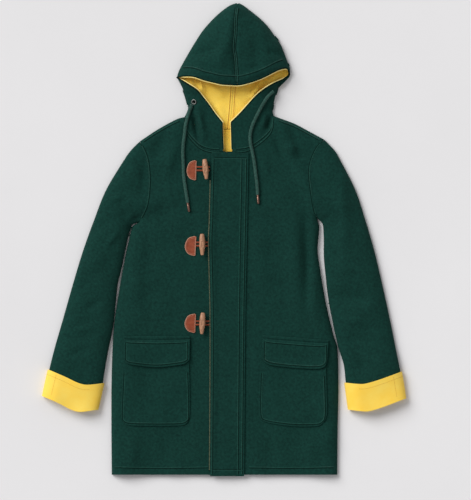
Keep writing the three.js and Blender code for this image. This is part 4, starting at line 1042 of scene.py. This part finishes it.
for n, (tip, flat_top, flat_end, *_) in enumerate(FASTENINGS, 1):
    round_way = line(flat_top, (between(flat_top[0], tip[0], 0.7), flat_top[1] - 6), tip,
                     (between(flat_end[0], tip[0], 0.7), flat_end[1] + 6), flat_end)
    flat_way = line(flat_top, flat_end)
    round_edge = lambda t, way=round_way: way(between(0.03, 0.97, np.asarray(t, float)))
    flat_edge = lambda t, way=flat_way: way(between(0.03, 0.97, np.asarray(t, float)))
    caps = [straight(round_edge(np.array(t)), flat_edge(np.array(t))) for t in (0.0, 1.0)]
    moon = patch(round_edge, flat_edge, *caps)
    shell = laid_on(moon, np.linspace(0, 1, 40), np.linspace(0, 1, 18), patch_lift, LEATHER, 0.3)
    make(f"toggle_patch_leather_{n}", [shell], leather, [f"toggle_patch_{n}"])
    centre = (np.array(tip) * 0.45 + np.array(flat_top) * 0.275 + np.array(flat_end) * 0.275)
    loop = np.concatenate([round_edge(np.linspace(0, 1, 60)), flat_edge(np.linspace(1, 0, 40))])
    loop = centre + (loop - centre) * 0.83
    heights = top(loop[:, 0], loop[:, 1]) + LAID + LEATHER + 0.1
    rows = stitch_row(np.column_stack([loop, heights]), pitch=3.0, length=2.1, wide=0.7)
    edge_loop = centre + (loop - centre) * (0.985 / 0.83)
    cut_edge = np.column_stack([edge_loop, top(edge_loop[:, 0], edge_loop[:, 1]) + LAID + LEATHER - 0.7])
    rows.append(tube_shell(oval_rings(cut_edge, 1.9, 1.7, 8)))
    make(f"toggle_patch_stitches_{n}", rows, pale_thread)

# Thongs and loops
# A round leather strand goes from the patch round the toggle's middle and back; a loop comes to meet it.
# The loops' turns lie under the toggles.
STRAND_WIDE = 4.2
STRAND_THICK = 2.4
APART = 8.5


def bight(start, end, floor):
    start, end = np.array(start, float), np.array(end, float)
    along = unit(end - start)
    across = np.array([-along[1], along[0]])
    radius = APART / 2
    bend = end - along * radius
    out = [between(start, bend, t) + across * radius for t in np.linspace(0, 0.95, 12)]
    turn = []
    for a in np.linspace(math.pi / 2, -math.pi / 2, 15):
        turn.append(bend + radius * (along * math.cos(a) + across * math.sin(a)))
    home = [between(bend, start, t) - across * radius for t in np.linspace(0.05, 1, 12)]
    plan = np.array(out + turn + home)
    path = np.column_stack([plan, top(plan[:, 0], plan[:, 1]) + floor + STRAND_THICK / 2])
    return tube_shell(oval_rings(path, STRAND_WIDE, STRAND_THICK, 14))


for n, (tip, flat_top, flat_end, toggle_top, toggle_end) in enumerate(FASTENINGS, 1):
    middle = between(np.array(toggle_top, float), np.array(toggle_end, float), 0.48)
    half = STRAND_WIDE / 2 + AIR
    patch_edge = (max(flat_top[0], flat_end[0]) + AIR, middle[1])
    placket_x = PLACKET["right"]((217 - middle[1]) / 808)[0] - 3.8
    strand = bight(patch_edge, (middle[0] - half, middle[1]), 0.6)
    make(f"thong_leather_{n}", [strand], leather, [f"thong_{n}"])
    if placket_x - middle[0] > 9:
        strand = bight((placket_x, middle[1]), (middle[0] + half, middle[1]), 0.6)
        make(f"loop_leather_{n}", [strand], leather, [f"loop_{n}"])

# Toggles
# Turned wooden barrels about 50 mm long, thicker in the middle, with a slot for the thong, in wood streaked
# dark and pale along its length.
# They lie on the thong beside the placket.
wood, wood_shader, where, patches = mottled(
    "toggle_wood", 0.42, (104, 58, 38), (214, 164, 128), 0.007, Specular_IOR_Level=0.4
)
stretch_grain = wood.node_tree.nodes.new("ShaderNodeMapping")
stretch_grain.inputs["Scale"].default_value = (5, 0.5, 5)
wood.node_tree.links.new(where.outputs["Object"], stretch_grain.inputs["Vector"])
wood.node_tree.links.new(stretch_grain.outputs["Vector"], patches.inputs["Vector"])
grain(wood, wood_shader, patches.outputs["Fac"], 0.15, 0.0003)
ALONG = (0, 0.03, 0.2, 0.45, 0.6, 0.85, 0.97, 1)
RADIUS = (3.9, 5.2, 6.6, 7.6, 7.4, 5, 4, 3)
for n, (tip, flat_top, flat_end, toggle_top, toggle_end) in enumerate(FASTENINGS, 1):
    ends = []
    for x, y in (toggle_top, toggle_end):
        cloth = float(top(np.array([x * 1.0]), np.array([y * 1.0]))[0])
        ends.append(np.array([x, y, cloth + 0.9 + STRAND_THICK + max(RADIUS)]))
    axis = ends[1] - ends[0]
    length = np.linalg.norm(axis)
    aside = unit(np.cross(np.array([0, 0, 1.0]), axis))
    shares = np.concatenate([spread(20, 0, 0.2), np.linspace(0.22, 0.74, 40), spread(26, 0.76, 1)])
    rings = []
    for share in shares:
        radius = np.interp(share, ALONG, RADIUS)
        angle = np.arange(40) * 2 * math.pi / 40
        flat = radius * np.cos(angle)
        tall = radius * np.sin(angle)
        slot_length = np.clip((7.5 - abs(share - 0.48) * length) / 1.5, 0, 1)
        sunk = 1.6 * slot_length * np.exp(-((np.abs(flat) / 2.1) ** 6)) * (tall > 0)
        ring = ends[0] + axis * share + flat[:, None] * aside + (tall - sunk)[:, None] * np.array([0, 0, 1.0])
        rings.append(ring)
    make(f"toggle_wood_{n}", [tube_shell(np.array(rings))], wood, [f"toggle_{n}"], 40)

# Eyelet
# A rolled ring of bright nickel pressed round the drawcord's hole in the hood's front edge.
# Its washer stands a little proud of the cloth.
nickel, nickel_shader, _, patches = mottled(
    "worn_nickel", 0.4, (104, 108, 104), (140, 142, 138), 0.004, Metallic=1.0
)
grain(nickel, nickel_shader, patches.outputs["Fac"], 0.08, 0.0001)
EYELET = (-75.0, 344.0)


EYELET_STEP = 4.0
x, y = EYELET
west, east, here = hood_top(np.array([x - EYELET_STEP, x + EYELET_STEP, x]), np.array([y, y, y]))
south, north = hood_top(np.array([x, x]), np.array([y - EYELET_STEP, y + EYELET_STEP]))
eyelet_up = unit(np.array([-(east - west) / (2 * EYELET_STEP), -(north - south) / (2 * EYELET_STEP), 1.0]))
seat = np.array([x, y, float(here)]) + eyelet_up * 2.6
first = unit(np.cross(eyelet_up, np.array([0, 1.0, 0])))
second = np.cross(eyelet_up, first)
rings = []
for turn in np.linspace(0, 2 * math.pi, 48, endpoint=False):
    out = math.cos(turn) * first + math.sin(turn) * second
    section = [seat + out * (5.35 + 1.15 * math.cos(a)) + eyelet_up * 0.7 * math.sin(a)
               for a in np.linspace(0, 2 * math.pi, 18, endpoint=False)]
    rings.append(section)
make("eyelet_ring", [tube_shell(np.array(rings), capped=False)], nickel, ["eyelet"])
# A dark plug inside the ring paints the shade of the hole; the cloth under it is not cut through.
barrel = []
for level, radius in ((-2.2, 4.6), (-0.9, 4.6), (-0.6, 4.2)):
    turns = np.linspace(0, 2 * math.pi, 32, endpoint=False)[:, None]
    barrel.append(seat + radius * (np.cos(turns) * first + np.sin(turns) * second) + eyelet_up * level)
dark_hole, *_ = mottled("hole_shade", 0.95, (4, 8, 7), (9, 15, 13), 0.002, Specular_IOR_Level=0.05)
make("eyelet_hole", [tube_shell(np.array(barrel))], dark_hole, ["eyelet"])

# Drawcords
# Two free ends of a braided cord, about 9 mm wide, come out of the hood's front edge and lie on the chest.
# Each ends in a copper-brown metal tip crimped on, and is as long as the photo shows it.
braid, braid_shader, _, patches = mottled(
    "braided_cord", 0.85, (22, 50, 44), (52, 92, 82), 0.004, Sheen_Weight=0.15, Specular_IOR_Level=0.2
)
grain(braid, braid_shader, patches.outputs["Fac"], 0.4, 0.0005)
copper, copper_shader, _, patches = mottled(
    "brown_copper", 0.35, (104, 80, 70), (146, 114, 100), 0.004, Metallic=1.0
)
grain(copper, copper_shader, patches.outputs["Fac"], 0.1, 0.0002)
CORDS = {
    "right": ((-81, 337), (-89, 314), (-96, 288), (-99, 262), (-102, 240), (-103, 215), (-102, 190),
              (-101, 160), (-97, 130), (-91, 92)),
    "left": ((124, 371), (110, 358), (98, 340), (88, 322), (77, 300), (69, 280), (65, 260), (66, 240),
             (70, 222), (75, 196), (79, 165), (82, 140), (84, 112)),
}
for hand in HANDS:
    stations = []
    for x, y in CORDS[hand]:
        around = hood_top(np.array([x - 4.0, x, x + 4.0]), np.array([y * 1.0] * 3))
        stations.append((x, y, float(around.max()) + 1.2 + 3.25))
    run = line(*stations)
    path = run(np.linspace(0, 1, 360))
    rings = oval_rings(path, 8.5, 6.5, 24)
    reach = np.linspace(0, run.length, 360)[:, None]
    around = np.arange(24)[None] * 2 * math.pi / 24
    strands = np.abs(np.sin(reach / 2.6 + 2 * around) * np.sin(reach / 2.6 - 2 * around))
    rings -= (rings - path[:, None]) * (0.11 * strands)[..., None]
    cord = make(f"drawcord_braid_{hand}", [tube_shell(rings)], braid, [f"drawcord_{hand}"], 70)
    heading = unit(path[-1] - path[-2])
    start = path[-1] + heading * AIR
    stretch = np.array([0, 0.02, 0.05, 0.12, 0.15, 0.2, 0.24, 0.8, 0.93, 0.98, 1.0]) * 23
    girth = np.array([2.5, 3.1, 3.25, 3.25, 2.9, 2.9, 3.25, 3.2, 2.95, 2.5, 1.8])
    tip_rings = oval_rings(start + stretch[:, None] * heading, 2, 2, 28)
    centres = start + stretch[:, None] * heading
    tip_rings = centres[:, None] + (tip_rings - centres[:, None]) * girth[:, None, None]
    metal = tube_shell(tip_rings)
    tip_piece = make(f"cord_tip_metal_{hand}", [metal], copper, [f"cord_tip_{hand}"])
